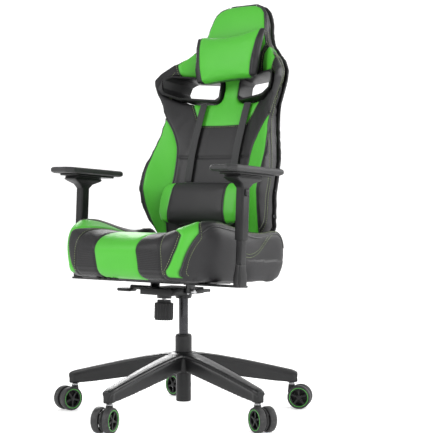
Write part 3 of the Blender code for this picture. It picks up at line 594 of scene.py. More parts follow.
piston_low, piston_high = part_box("gas_lift_piston")
piston = turned("gas_lift_rod", [
    (0, piston_high.z), (0.0040, piston_high.z), (0.0040, piston_high.z - 0.002),
    (PISTON_RADIUS - 0.001, piston_high.z - 0.002),
    (PISTON_RADIUS, piston_high.z - 0.023), (PISTON_RADIUS, piston_low.z), (0, piston_low.z),
], 64, darkened_steel(), COLUMN)
put_on(shade(piston), "lift", "polished_steel", "gas_lift_piston")

# ---------------------------------------------------------------- tilt mechanism
# A folded and welded steel housing on the piston, with a cross pin, a cast spring cup below and two
# cheese-head screws in its side. It is powder-coated like the base.


def copy_of(node, name):
    """A CAD node's shape as a new piece."""
    piece = frame["nodes"][node].copy()
    piece.data = piece.data.copy()
    piece.parent = None
    piece.name = name
    for key in list(piece.keys()):
        del piece[key]
    scene.collection.objects.link(piece)
    return piece


def refined(node, name, bevel, segments=2, material=None):
    """A copy of a CAD node with its flat faces made whole and its edges rounded."""
    piece = copy_of(node, name)
    shape = bmesh.new()
    shape.from_mesh(piece.data)
    bmesh.ops.remove_doubles(shape, verts=shape.verts, dist=0.00002)
    bmesh.ops.dissolve_limit(shape, angle_limit=math.radians(1.5), verts=shape.verts, edges=shape.edges)
    shape.to_mesh(piece.data)
    shape.free()
    piece.data.materials.clear()
    if material:
        piece.data.materials.append(material)
    add_modifier(
        piece, "BEVEL", width=bevel, segments=segments, limit_method="ANGLE", angle_limit=math.radians(30),
    )
    apply_modifiers(piece)
    return shade(piece)


put_on(
    refined("tilt_housing", "tilt_case", 0.0018, material=powder_coat()), "mechanism", "black_steel",
    "tilt_housing",
)
put_on(
    refined("tilt_pivot_pin", "tilt_cross_pin", 0.0008, material=polished_steel()), "mechanism",
    "polished_steel", "tilt_pivot_pin",
)
case_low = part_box("tilt_housing")[0]


def socket_screw(name, at, along, radius, height, body, steel):
    """A cap screw with a hexagon socket, its head standing off a face."""
    head = turned(name, [
        (0, -0.001), (radius, -0.001), (radius, height - 0.0005), (radius - 0.0006, height),
        (radius * 0.5, height),
        (radius * 0.46, height - 0.0015), (0, height - 0.0015),
    ][::-1], 24, steel)
    turn = Vector(along).to_track_quat("Z", "Y").to_matrix().to_4x4()
    moved(head, Matrix.Translation(at) @ turn)
    put_on(shade(head), body, "polished_steel")


for number, along in enumerate((0.020, 0.055)):
    for side, sign in (("left", 1), ("right", -1)):
        at = Vector((COLUMN.x + sign * 0.0620, COLUMN.y - along, case_low.z + 0.020))
        socket_screw(
            f"housing_screw_{side}_{number}", at, (sign, 0, 0), 0.0040, 0.0030, "mechanism",
            polished_steel(),
        )

# ---------------------------------------------------------------- tension knob
# A ribbed moulded knob on the tilt spring's bolt: a plain collar above, twenty finger ribs below.
KNOB_RIBS, KNOB_LEAN = 20, math.radians(2)
knob_top = Vector((COLUMN.x, COLUMN.y - 0.0885, 0.3520))
knob = turned("tension_knob_grip", [
    (0, -0.0040), (0.0200, -0.0040), (0.0205, -0.0110), (0.0262, -0.0130), (0.0268, -0.0560),
    (0.0240, -0.0632), (0, -0.0640),
], KNOB_RIBS * 6)
for vert in knob.data.vertices:
    reach = math.hypot(vert.co.x, vert.co.y)
    if reach > 0.022 and vert.co.z < -0.012:
        rib = math.cos(KNOB_RIBS * math.atan2(vert.co.y, vert.co.x))
        grow = 1 + (0.0016 if rib > 0 else -0.0012) * abs(rib) ** 0.5 / reach
        vert.co.x *= grow
        vert.co.y *= grow
knob.data.materials.append(moulded_plastic())
lean = Matrix.Translation(knob_top) @ Matrix.Rotation(-KNOB_LEAN, 4, "X")
moved(knob, lean)
put_on(shade(knob, 50), "tension_knob", "black_plastic", "tension_knob")
bolt = round_bar("tension_bolt", (0, 0, -0.006), (0, 0, 0.024), 0.006, material=polished_steel())
put_on(shade(moved(bolt, lean)), "tension_knob", "polished_steel")

# ---------------------------------------------------------------- height lever
# A bent steel rod that lifts the gas valve, and a moulded handle that slides along it to lock the tilt.
put_on(
    refined("height_lever_rod", "lever_rod_bar", 0.0006, material=polished_steel()), "lever_rod",
    "polished_steel", "height_lever_rod",
)
lever_y, lever_z = COLUMN.y - 0.022, 0.374
grip = round_bar("grip", (COLUMN.x - 0.078, lever_y, lever_z), (COLUMN.x - 0.190, lever_y, lever_z), 0.0070)
paddle = soft_box(
    "paddle", (COLUMN.x - 0.236, lever_y - 0.018, 0.3602), (COLUMN.x - 0.182, lever_y + 0.018, 0.3708),
    0.0045,
)
handle = join([grip, paddle], "lever_grip")
melt(handle, 0.0013, 4)
handle.data.materials.append(moulded_plastic())
put_on(handle, "lever_handle", "black_plastic", "height_lever_handle")

# ---------------------------------------------------------------- seat plate, pan and clips
# The pressed plate bolts the seat to the tilt mechanism; the pan above carries the foam. The cover is
# pulled under the pan and held at the front by four moulded hooks.
PAN_SHARE = 0.92
put_on(
    refined("seat_plate", "seat_mount_plate", 0.0015, material=powder_coat()), "seat", "black_steel",
    "seat_plate",
)
pan = refined("seat_pan", "seat_pan_tray", 0.0015, material=powder_coat())
pan_low, pan_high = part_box("seat_pan")
pan_middle = (pan_low + pan_high) / 2
narrower = Matrix.Diagonal((PAN_SHARE, PAN_SHARE, 1.0, 1.0))
moved(pan, Matrix.Translation(pan_middle) @ narrower @ Matrix.Translation(-pan_middle))
put_on(pan, "seat", "black_steel", "seat_pan")
tilt_joint = next(joint for joint in frame["joints"] if joint["name"] == "seat_tilt")
recline_joint = next(joint for joint in frame["joints"] if joint["name"] == "back_recline")
tilt_pivot, recline_pivot = Vector(tilt_joint["pos_m"]), Vector(recline_joint["pos_m"])
SEAT_TILT, BACK_LEAN = math.radians(3), math.radians(13)
seat_turn = Matrix.Rotation(-SEAT_TILT, 4, "X") @ Matrix.Translation(COLUMN - tilt_pivot)
SEAT_SPACE = Matrix.Translation(tilt_pivot) @ seat_turn
BACK_SPACE = Matrix.Translation(recline_pivot) @ Matrix.Rotation(-BACK_LEAN, 4, "X")
for number in range(4):
    x = -0.112 + 0.0215 * number
    hook = soft_box(
        f"cover_hook_{number}", (x, -0.262, 0.4015), (x + 0.011, -0.246, 0.4115), 0.0018, 2,
        moulded_plastic(),
    )
    put_on(moved(hook, SEAT_SPACE), "seat", "black_plastic")

# ---------------------------------------------------------------- seat cushion
# Cold-foam seat in a sewn leatherette cover: a green centre panel, perforated panels beside it, raised
# bolsters with a green strip along their inner crest, and plain black side panels, topstitched.
LEATHER_BLACK, LEATHER_BLACK_PALE = (0.0072, 0.0068, 0.0078, 1.0), (0.0175, 0.0168, 0.0185, 1.0)
LEATHER_GREEN, LEATHER_GREEN_DEEP = (0.0760, 0.4500, 0.0330, 1.0), (0.0500, 0.3500, 0.0220, 1.0)
# The near black below colours the perforation holes and is also the painted shade laid along every seam.
HOLE_BLACK_AND_SEAM_SHADE = (0.0030, 0.0030, 0.0032, 1.0)
THREAD_PALE, THREAD_DULL = (0.300, 0.380, 0.160, 1.0), (0.180, 0.240, 0.100, 1.0)
HOLE_PITCH, GRAIN_PER_METRE = 0.0042, 900.0
SEAT_VOXEL, SEAT_SHRINK, SEAT_CAP = 0.0075, 0.0030, 0.0110
CENTRE_HALF, TUCK = 0.078, 0.0095


def smooth_through(points):
    """A smooth function through given (place, value) points, with no overshoot between them."""
    places = np.array([place for place, _ in points], float)
    values = np.array([value for _, value in points], float)
    steps = np.diff(places)
    slopes = np.diff(values) / steps
    tangents = np.empty(len(values))
    tangents[0], tangents[-1] = slopes[0], slopes[-1]
    before, after = slopes[:-1], slopes[1:]
    total = np.where(before + after == 0, 1.0, before + after)
    tangents[1:-1] = np.where(before * after <= 0, 0.0, 2 * before * after / total)

    def value(wanted):
        at = np.clip(wanted, places[0], places[-1])
        i = np.clip(np.searchsorted(places, at, side="right") - 1, 0, len(steps) - 1)
        t = (at - places[i]) / steps[i]
        rise = (1 - t) ** 2 * ((1 + 2 * t) * values[i] + t * steps[i] * tangents[i])
        return rise + t * t * ((3 - 2 * t) * values[i + 1] - (1 - t) * steps[i] * tangents[i + 1])

    return value


def points_of(piece):
    """The mesh's points as an array."""
    flat = np.empty(len(piece.data.vertices) * 3, np.float32)
    piece.data.vertices.foreach_get("co", flat)
    return flat.reshape(-1, 3).astype(float)


def normals_of(piece):
    flat = np.empty(len(piece.data.vertices) * 3, np.float32)
    piece.data.vertex_normals.foreach_get("vector", flat)
    return flat.reshape(-1, 3).astype(float)


def set_points(piece, points):
    piece.data.vertices.foreach_set("co", points.astype(np.float32).ravel())
    piece.data.update()


def in_space(points, space):
    """World points in a tilted piece's own space."""
    back = np.array(space.inverted())
    return points @ back[:3, :3].T + back[:3, 3]


def set_attribute(piece, name, values):
    attribute = piece.data.attributes.get(name) or piece.data.attributes.new(name, "FLOAT", "POINT")
    attribute.data.foreach_set("value", values.astype(np.float32))


def soft_copy(node, name, voxel, rounds, shrink):
    """A cushion's starting shape: the CAD solid remeshed evenly, its edges rounded, a little smaller."""
    piece = copy_of(node, name)
    outwards_only = bmesh.new()
    outwards_only.from_mesh(piece.data)
    bmesh.ops.remove_doubles(outwards_only, verts=outwards_only.verts, dist=0.00002)
    outwards_only.to_mesh(piece.data)
    outwards_only.free()
    piece.data.materials.clear()
    melt(piece, voxel, rounds)
    set_points(piece, points_of(piece) - normals_of(piece) * shrink)
    return piece


def inflate(piece, held, pressure, cap):
    """Blows the cover up like foam under cloth. Held points stay, and no point moves further than the cap."""
    before = points_of(piece)
    group = piece.vertex_groups.new(name="held")
    for share in (1.0, 0.5):
        chosen = np.flatnonzero(np.abs(held - share) < 0.25)
        group.add([int(i) for i in chosen], share, "REPLACE")
    cloth = piece.modifiers.new("cloth", "CLOTH")
    cloth.settings.quality = 4
    cloth.settings.mass = 0.25
    cloth.settings.tension_stiffness = 25
    cloth.settings.compression_stiffness = 25
    cloth.settings.shear_stiffness = 15
    cloth.settings.bending_stiffness = 0.8
    cloth.settings.use_pressure = True
    cloth.settings.uniform_pressure_force = pressure
    cloth.settings.effector_weights.gravity = 0
    cloth.settings.vertex_group_mass = "held"
    cloth.collision_settings.use_collision = False
    for step in range(1, 21):
        scene.frame_set(step)
    shown = piece.evaluated_get(bpy.context.evaluated_depsgraph_get())
    flat = np.empty(len(before) * 3, np.float32)
    shown.data.vertices.foreach_get("co", flat)
    move = flat.reshape(-1, 3) - before
    length = np.linalg.norm(move, axis=1, keepdims=True)
    move *= np.minimum(1.0, cap / np.maximum(length, 1e-9))
    piece.modifiers.remove(cloth)
    piece.vertex_groups.clear()
    scene.frame_set(1)
    set_points(piece, before + move)


def refine(piece):
    """One subdivision, applied."""
    add_modifier(piece, "SUBSURF", levels=1, render_levels=1)
    apply_modifiers(piece)
    piece.data.shade_smooth()


def sink_seams(piece, distance, depth, width):
    """Presses the cover in along its seams."""
    groove = depth * np.exp(-((distance / width) ** 2))
    set_points(piece, points_of(piece) - normals_of(piece) * groove[:, None])


def level_lines(piece, values, keep=None, level=0.0):
    """Lines on the surface where a value per point passes a level: arrays of points and of normals."""
    mesh = piece.data
    mesh.calc_loop_triangles()
    corners = np.empty(len(mesh.loop_triangles) * 3, np.int32)
    mesh.loop_triangles.foreach_get("vertices", corners)
    corners = corners.reshape(-1, 3)
    points, normals = points_of(piece), normals_of(piece)
    height = values - level
    height = np.where(height == 0, 1e-9, height)
    over = height[corners] > 0
    crossed = corners[(over.any(axis=1)) & (~over.all(axis=1))]
    places, neighbours = {}, {}
    for triangle in crossed:
        ends = []
        for first, second in ((0, 1), (1, 2), (2, 0)):
            a, b = sorted((int(triangle[first]), int(triangle[second])))
            if (height[a] > 0) == (height[b] > 0):
                continue
            share = height[a] / (height[a] - height[b])
            place = points[a] + (points[b] - points[a]) * share
            places[(a, b)] = (place, normals[a] + (normals[b] - normals[a]) * share)
            ends.append((a, b))
        if keep is not None and not all(keep(places[end][0]) for end in ends):
            continue
        neighbours.setdefault(ends[0], []).append(ends[1])
        neighbours.setdefault(ends[1], []).append(ends[0])
    lines, seen = [], set()
    starts = sorted(neighbours, key=lambda key: (len(neighbours[key]) != 1, key))
    for start in starts:
        if start in seen:
            continue
        chain, current = [], start
        while current is not None:
            seen.add(current)
            chain.append(current)
            current = next((other for other in neighbours[current] if other not in seen), None)
        closed = len(chain) > 8 and chain[0] in neighbours[chain[-1]]
        if closed:
            chain.append(chain[0])
        if len(chain) > 5:
            found = [places[key] for key in chain]
            lines.append((np.array([place for place, _ in found]), np.array([normal for _, normal in found])))
    return lines


def spaced(line, step):
    """The line at even steps, lightly smoothed, with unit normals."""
    points, normals = line
    for _ in range(3):
        points[1:-1] = (points[:-2] + 2 * points[1:-1] + points[2:]) / 4
    along = np.concatenate([[0.0], np.cumsum(np.linalg.norm(np.diff(points, axis=0), axis=1))])
    count = max(int(along[-1] / step), 1)
    at = np.linspace(0, along[-1], count + 1)
    even = np.stack([np.interp(at, along, points[:, i]) for i in range(3)], axis=1)
    facing = np.stack([np.interp(at, along, normals[:, i]) for i in range(3)], axis=1)
    return even, facing / np.maximum(np.linalg.norm(facing, axis=1, keepdims=True), 1e-9)


def piping(name, lines, radius, lift, material, step=0.006, shortest=0.03):
    """A sewn-in cord along seam lines, half sunk in the cover."""
    data = bpy.data.curves.new(name, "CURVE")
    data.dimensions = "3D"
    data.bevel_depth = radius
    data.bevel_resolution = 2
    data.use_fill_caps = True
    for line in lines:
        even, facing = spaced(line, step)
        if len(even) * step < shortest:
            continue
        spline = data.splines.new("POLY")
        spline.points.add(len(even) - 1)
        for point, place in zip(spline.points, even + facing * lift):
            point.co = (*place, 1.0)
    cord = bpy.data.objects.new(name, data)
    scene.collection.objects.link(cord)
    bpy.ops.object.select_all(action="DESELECT")
    bpy.context.view_layer.objects.active = cord
    cord.select_set(True)
    bpy.ops.object.convert(target="MESH")
    cord = bpy.context.object
    outwards(cord)
    cord.data.materials.clear()
    cord.data.materials.append(material)
    cord.data.shade_smooth()
    return cord


def stitching(name, lines, pitch, length, radius, lift, material, shortest=0.03):
    """A row of stitches: short slim beads of thread laid along seam lines."""
    rings = [(-0.5, 0.0), (-0.38, 0.8), (0.0, 1.0), (0.38, 0.8), (0.5, 0.0)]
    points, faces = [], []
    for line in lines:
        even, facing = spaced(line, pitch)
        if len(even) * pitch < shortest:
            continue
        for first, second, up in zip(even[:-1], even[1:], facing[:-1]):
            along = (second - first) / max(np.linalg.norm(second - first), 1e-9)
            side = np.cross(along, up)
            middle = (first + second) / 2 + up * lift
            start = len(points)
            points.append(middle + along * rings[0][0] * length)
            for share, swell in rings[1:-1]:
                for corner in range(6):
                    turn = corner * math.pi / 3
                    spread = (side * math.cos(turn) + up * math.sin(turn)) * radius * swell
                    points.append(middle + along * share * length + spread)
            points.append(middle + along * rings[-1][0] * length)
            last = len(points) - 1
            for corner in range(6):
                after = (corner + 1) % 6
                faces.append((start, start + 1 + after, start + 1 + corner))
                faces.append((last, start + 13 + corner, start + 13 + after))
                for ring in (0, 6):
                    base_corner = start + 1 + ring
                    faces.append((
                        base_corner + corner, base_corner + after, base_corner + 6 + after,
                        base_corner + 6 + corner,
                    ))
    mesh = bpy.data.meshes.new(name)
    mesh.from_pydata([tuple(point) for point in points], [], faces)
    mesh.materials.append(material)
    mesh.shade_smooth()
    piece = bpy.data.objects.new(name, mesh)
    scene.collection.objects.link(piece)
    outwards(piece)
    return piece


def upholstery(name="upholstery"):
    """Grained leatherette, green or black by panel, with perforated panels, and painted shade that darkens the cover
    along its seams.
    """
    if name in bpy.data.materials:
        return bpy.data.materials[name]
    cover = Finish(name, specular_ior_level=0.35, coat_weight=0.05, coat_roughness=0.40)
    where = cover.place()
    green = cover.node("ShaderNodeAttribute", {"attribute_name": "green"}, {}, "Fac")
    mesh = cover.node("ShaderNodeAttribute", {"attribute_name": "mesh"}, {}, "Fac")
    seam = cover.node("ShaderNodeAttribute", {"attribute_name": "seam"}, {}, "Fac")
    sockets = {"Vector": where, "Scale": GRAIN_PER_METRE}
    cells = cover.node("ShaderNodeTexVoronoi", {"feature": "F1"}, sockets, "Distance")
    clouds = cover.noise(where, 9.0, 4.0)
    fine = cover.noise(where, 300.0, 3.0)
    black = cover.blend(clouds * 0.5 + fine * 0.4, LEATHER_BLACK, LEATHER_BLACK_PALE)
    bright = cover.blend(clouds * 0.6 + fine * 0.2, LEATHER_GREEN, LEATHER_GREEN_DEEP)
    sheet = cover.blend(cover.between(green, -0.0003, 0.0003), black, bright)
    lay = cover.node("ShaderNodeUVMap", {"uv_map": "lay"}, {}, "UV")
    spots = cover.node(
        "ShaderNodeTexVoronoi", {"feature": "F1", "voronoi_dimensions": "2D"},
        {"Vector": lay, "Scale": 1.0 / HOLE_PITCH, "Randomness": 0.0}, "Distance",
    )
    hole = cover.between(spots, 0.20, 0.34, 1.0, 0.0) * cover.between(mesh, 0.0, 0.0005)
    pierced = cover.blend(hole, sheet, HOLE_BLACK_AND_SEAM_SHADE)
    # Painted shade: within a few millimetres of each seam the cover is darkened towards near black, standing in for the
    # shade in the seam's groove.
    crease = cover.between(seam, 0.0006, 0.0030, 0.55, 0.0)
    shaded = cover.blend(crease, pierced, HOLE_BLACK_AND_SEAM_SHADE)
    rough = 0.40 + cells * 0.10 + clouds * 0.10 + hole * 0.3
    relief = cover.relief(cells * 0.6 + fine * 0.5 - hole * 1.5, 0.0006, 0.45)
    return cover.show(base_color=shaded, roughness=rough, normal=relief)


def thread():
    """Pale waxed polyester thread, each stitch with a slight twist of shade."""
    if "thread" in bpy.data.materials:
        return bpy.data.materials["thread"]
    yarn = Finish("thread")
    twist = yarn.noise(yarn.place(), 700.0, 2.0)
    return yarn.show(base_color=yarn.blend(twist, THREAD_PALE, THREAD_DULL), roughness=0.55 + twist * 0.2)


def piping_leather():
    """The narrow black strip sewn round the piping cord."""
    if "piping_leather" in bpy.data.materials:
        return bpy.data.materials["piping_leather"]
    strip = Finish("piping_leather", coat_weight=0.15, coat_roughness=0.35)
    creases = strip.noise(strip.place(), 250.0, 4.0)
    colour = strip.blend(creases, (0.010, 0.010, 0.011, 1.0), (0.022, 0.022, 0.023, 1.0))
    return strip.show(
        base_color=colour, roughness=0.36 + creases * 0.15, normal=strip.relief(creases, 0.0004, 0.4),
    )


def set_lay(piece, across, along):
    """A UV map in metres that follows the cloth."""
    layer = piece.data.uv_layers.get("lay") or piece.data.uv_layers.new(name="lay")
    corners = np.empty(len(piece.data.loops), np.int32)
    piece.data.loops.foreach_get("vertex_index", corners)
    layer.data.foreach_set(
        "uv", np.stack([across[corners], along[corners]], axis=1).astype(np.float32).ravel(),
    )


# Along the seat's profile a place is measured by how far forward and down it lies.
WRAP_HEIGHT = 0.550
strip_inner = smooth_through([
    (-0.080, 0.165), (0.000, 0.160), (0.195, 0.160), (0.230, 0.165), (0.259, 0.180), (0.270, 0.195),
    (0.288, 0.211),
    (0.323, 0.209), (0.366, 0.198), (0.400, 0.184), (0.418, 0.170), (0.440, 0.160),
])
strip_outer = smooth_through([
    (-0.080, 0.140), (0.000, 0.150), (0.035, 0.163), (0.075, 0.180), (0.120, 0.199), (0.165, 0.215),
    (0.200, 0.230), (0.240, 0.242),
    (0.284, 0.236), (0.333, 0.226), (0.375, 0.215), (0.411, 0.203), (0.440, 0.197),
])
ridge_line = smooth_through([
    (-0.080, 0.255), (0.000, 0.258), (0.100, 0.257), (0.163, 0.253), (0.215, 0.248), (0.240, 0.243),
    (0.284, 0.2365),
    (0.333, 0.2265), (0.375, 0.2155), (0.411, 0.2035), (0.440, 0.1975),
])
mesh_edge = smooth_through([(-0.080, 0.146), (0.250, 0.150), (0.330, 0.156), (0.440, 0.165)])
ear_seam = smooth_through([
    (-0.060, 0.488), (-0.020, 0.483), (0.020, 0.495), (0.050, 0.520), (0.085, 0.548), (0.125, 0.566),
])


def seat_panels(piece):
    """Signed distances to the seat's seams, by name."""
    place = in_space(points_of(piece), SEAT_SPACE)
    x, y, z = np.abs(place[:, 0]), place[:, 1], place[:, 2]
    wrap = WRAP_HEIGHT - z - y
    strip = np.minimum(x - strip_inner(wrap), strip_outer(wrap) - x)
    strip = np.minimum(np.minimum(strip, np.maximum(z - 0.470, -0.246 - y)), z - 0.4215)
    return {
        "centre": CENTRE_HALF - x,
        "mesh": mesh_edge(wrap) - x,
        "ridge": np.where((z > 0.470) | (y < -0.220), x - ridge_line(wrap), 1.0),
        "strip": strip,
        "ear": ear_seam(y) - z,
        "on_ear": (x > 0.244) & (y > -0.045) & (y < 0.140),
        "x": place[:, 0],
        "wrap": wrap,
        "z": z,
    }


def seat_distance(panels):
    """How far each point is from the nearest seam."""
    ear = np.where(panels["on_ear"], np.abs(panels["ear"]), 1.0)
    seams = [np.abs(panels[name]) for name in ("centre", "mesh", "strip", "ridge")]
    return np.min(np.stack(seams + [ear]), axis=0)


seat = soft_copy("seat_cushion", "seat_cover", SEAT_VOXEL, 30, SEAT_SHRINK)
panels = seat_panels(seat)
place = in_space(points_of(seat), SEAT_SPACE)
hidden = (place[:, 2] < 0.418) | (np.abs(place[:, 0]) < 0.24) & (place[:, 1] > 0.075)
held = np.where((seat_distance(panels) < 0.0045) | hidden, 1.0, 0.0)
inflate(seat, held, 5.0, SEAT_CAP)
round_nose = seat.vertex_groups.new(name="nose")
nose = (place[:, 1] < -0.215) & (place[:, 2] > 0.440)
round_nose.add([int(i) for i in np.flatnonzero(nose)], 1.0, "REPLACE")
add_modifier(seat, "SMOOTH", factor=0.5, iterations=60, vertex_group="nose")
apply_modifiers(seat)
seat.vertex_groups.clear()
refine(seat)
panels = seat_panels(seat)
distance = seat_distance(panels)
sink_seams(seat, distance, 0.0028, 0.0045)
tucked = np.array(SEAT_SPACE)[:3, 2] * (-TUCK * np.clip((0.440 - panels["z"]) / 0.0285, 0, 1))[:, None]
set_points(seat, points_of(seat) + tucked)
set_attribute(seat, "green", np.maximum(panels["centre"], panels["strip"]))
set_attribute(seat, "mesh", np.minimum(-panels["centre"], panels["mesh"]))
# The seam distance also places the painted shade that darkens the cover along its seams.
set_attribute(seat, "seam", distance)
set_lay(seat, panels["x"], panels["wrap"])
seat.data.materials.append(upholstery())


def on_ridge(place):
    """Whether a place is on the ridge of a side bolster or down its front corner."""
    local = SEAT_SPACE.inverted() @ Vector(place)
    return (local.z > 0.478 or local.y < -0.228) and local.z > 0.424 and local.y < 0.150


def behind_strip(place):
    """Whether a place is on the ridge behind the green strip."""
    local = SEAT_SPACE.inverted() @ Vector(place)
    return local.z > 0.478 and -0.165 < local.y < 0.150


def seat_shows(place):
    """Whether a place is on the seen part of the cover, not under the pan or behind."""
    local = SEAT_SPACE.inverted() @ Vector(place)
    return local.z > 0.424 and local.y < (0.150 if abs(local.x) > 0.245 else 0.078)


ridge_cord = piping(
    "seat_piping", level_lines(seat, panels["ridge"], on_ridge), 0.0024, 0.0004, piping_leather(),
)
put_on(ridge_cord, "seat", "black_leather")


def on_ear(place):
    """Whether a place is on the rear side panel that flanks the hinge."""
    local = SEAT_SPACE.inverted() @ Vector(place)
    return abs(local.x) > 0.244 and -0.040 < local.y < 0.135 and local.z > 0.43


rows = []
for name, level, keep in (
    ("ridge", -0.0070, behind_strip), ("mesh", -0.0050, seat_shows), ("strip", -0.0045, seat_shows),
    ("ear", 0.0045, on_ear), ("ear", -0.0045, on_ear),
):
    rows += level_lines(seat, panels[name], keep, level)
put_on(
    stitching("seat_stitching", rows, 0.0068, 0.0050, 0.00055, 0.0002, thread()), "seat", "green_leather",
)
put_on(seat, "seat", "black_leather", "seat_cushion")

# ---------------------------------------------------------------- backrest cushion
# Moulded foam over a steel tube frame in a sewn cover: green bolsters, chest, pillar and head panels on
# black, with piping along the bolsters and a double row of pale topstitching down each side face.
OPENING_HEIGHT = 0.513
BACK_VOXEL, BACK_SHRINK, BACK_CAP = 0.0075, 0.0030, 0.0100
bolster_inner = smooth_through([
    (0.030, 0.163), (0.050, 0.160), (0.109, 0.157), (0.170, 0.148), (0.236, 0.140), (0.286, 0.142),
    (0.318, 0.146),
    (0.352, 0.158), (0.389, 0.178), (0.420, 0.204), (0.450, 0.240),
])
bolster_outer = smooth_through([
    (0.000, 0.190), (0.030, 0.196), (0.076, 0.206), (0.124, 0.216), (0.176, 0.222), (0.230, 0.224),
    (0.296, 0.2200),
    (0.348, 0.212), (0.395, 0.206), (0.420, 0.205), (0.450, 0.204),
])
side_depth = smooth_through([
    (0.020, 0.020), (0.050, 0.030), (0.087, 0.040), (0.183, 0.068), (0.305, 0.066), (0.430, 0.060),
    (0.547, 0.072),
    (0.600, 0.055), (0.650, 0.035), (0.700, 0.016), (0.800, 0.006),
])
CHEST = [
    (-0.050, 0.560), (0.036, 0.560), (0.037, 0.492), (0.134, 0.484), (0.112, 0.440), (0.092, 0.401),
    (-0.050, 0.398),
]
HEAD = [
    (-0.050, 0.612), (0.098, 0.612), (0.116, 0.630), (0.130, 0.652), (0.115, 0.690), (0.105, 0.734),
    (0.096, 0.762),
    (0.080, 0.779), (0.052, 0.7920), (-0.050, 0.7960),
]
SHOULDER = [
    (0.124, 0.545), (0.168, 0.543), (0.180, 0.570), (0.190, 0.598), (0.160, 0.632), (0.148, 0.645),
    (0.128, 0.620), (0.122, 0.590),
]


def polygon_distance(x, y, corners):
    """Distance inside a polygon, negative outside it."""
    best = np.full(len(x), 9.0)
    inside = np.zeros(len(x), bool)
    for (ax, ay), (bx, by) in zip(corners, corners[1:] + corners[:1]):
        dx, dy = bx - ax, by - ay
        share = np.clip(((x - ax) * dx + (y - ay) * dy) / (dx * dx + dy * dy), 0, 1)
        best = np.minimum(best, np.hypot(x - ax - share * dx, y - ay - share * dy))
        crosses = (ay > y) != (by > y)
        inside ^= crosses & (x < ax + (y - ay) * dx / (dy if dy else 1e-9))
    return np.where(inside, best, -best)


def back_panels(piece):
    """Signed distances to the backrest's seams, by name."""
    place = in_space(points_of(piece), BACK_SPACE)
    x, n, s = np.abs(place[:, 0]), -place[:, 1], place[:, 2]
    bolster = np.minimum(np.minimum(x - bolster_inner(s), bolster_outer(s) - x), s + 0.02)
    return {
        "bolster": bolster,
        "chest": polygon_distance(x, s, CHEST),
        "head": polygon_distance(x, s, HEAD),
        "shoulder": polygon_distance(x, s, SHOULDER),
        "middle": np.where((x < bolster_inner(s)) & (s < 0.36) & (s > 0.24), s - 0.295, 1.0),
        "side": n - side_depth(s),
        "x": place[:, 0],
        "s": s,
        "n": n,
        "outer": normals_of(piece)[:, 0] * np.sign(place[:, 0]),
    }


def back_distance(panels):
    """How far each point is from the nearest seam of the backrest."""
    flat = [np.abs(panels[name]) for name in ("bolster", "chest", "head", "shoulder", "middle")]
    side = np.where(panels["outer"] > 0.6, np.abs(panels["side"]), 1.0)
    return np.min(np.stack(flat + [side]), axis=0)


back = soft_copy("back_cushion", "back_cover", BACK_VOXEL, 12, BACK_SHRINK)
panels = back_panels(back)
facing = normals_of(back) @ np.array(BACK_SPACE)[:3, 1]
strap_land = (np.abs(np.abs(panels["x"]) - 0.086) < 0.016) & (panels["s"] > 0.19) & (panels["s"] < 0.485)
from_middle = np.abs(panels["x"])
opening_land = (np.abs(panels["s"] - OPENING_HEIGHT) < 0.040) & (from_middle < 0.205) & (from_middle > 0.030)
lumbar_land = (np.abs(panels["x"]) < 0.150) & (panels["s"] < 0.200)
neck_land = (np.abs(panels["x"] - 0.02) < 0.130) & (np.abs(panels["s"] - 0.608) < 0.080)
held = np.where((back_distance(panels) < 0.0045) | (facing > 0.25), 1.0, 0.0)
held = np.where((held < 1) & (strap_land | opening_land | lumbar_land | neck_land), 0.5, held)
before = points_of(back)
inflate(back, held, 4.5, BACK_CAP)
calm = (held == 0.5)
settled = points_of(back)
settled[calm] = before[calm] + (settled[calm] - before[calm]) * 0.15
set_points(back, settled)
refine(back)
panels = back_panels(back)
distance = back_distance(panels)
sink_seams(back, distance, 0.0026, 0.0042)
front_only = (panels["outer"] < 0.80) | (panels["s"] < 0.45)
green = np.max(np.stack([panels[name] for name in ("bolster", "chest", "head", "shoulder")]), axis=0)
set_attribute(back, "green", np.where(front_only, green, -0.01))
set_attribute(back, "mesh", np.full(len(distance), -1.0))
# The seam distance also places the painted shade that darkens the cover along its seams.
set_attribute(back, "seam", distance)
set_lay(back, panels["x"], panels["s"])
back.data.materials.append(upholstery())


def back_shows(place):
    """Whether a place is on the seen front or side of the backrest's cover."""
    local = BACK_SPACE.inverted() @ Vector(place)
    return local.z > 0.01


def back_side(place):
    """Whether a place is on the side face of the backrest's cover."""
    local = BACK_SPACE.inverted() @ Vector(place)
    return abs(local.x) > 0.100 and 0.03 < local.z < 0.70 and (abs(local.x) > 0.190 or local.z > 0.59)


cords = level_lines(back, panels["bolster"], back_shows) + level_lines(back, panels["head"], back_shows)
put_on(piping("back_piping", cords, 0.0022, 0.0003, piping_leather()), "back", "black_leather")
side_value = np.where(panels["outer"] > 0.55, panels["side"], np.where(panels["side"] > 0, 1.0, -1.0))
rows = []
for level in (0.0060, -0.0060):
    rows += level_lines(back, side_value, back_side, level)
for name in ("chest", "shoulder"):
    rows += level_lines(back, panels[name], back_shows, -0.0045)
put_on(
    stitching("back_stitching", rows, 0.0068, 0.0050, 0.00055, 0.0002, thread()), "back", "green_leather",
)
put_on(back, "back", "black_leather", "back_cushion")

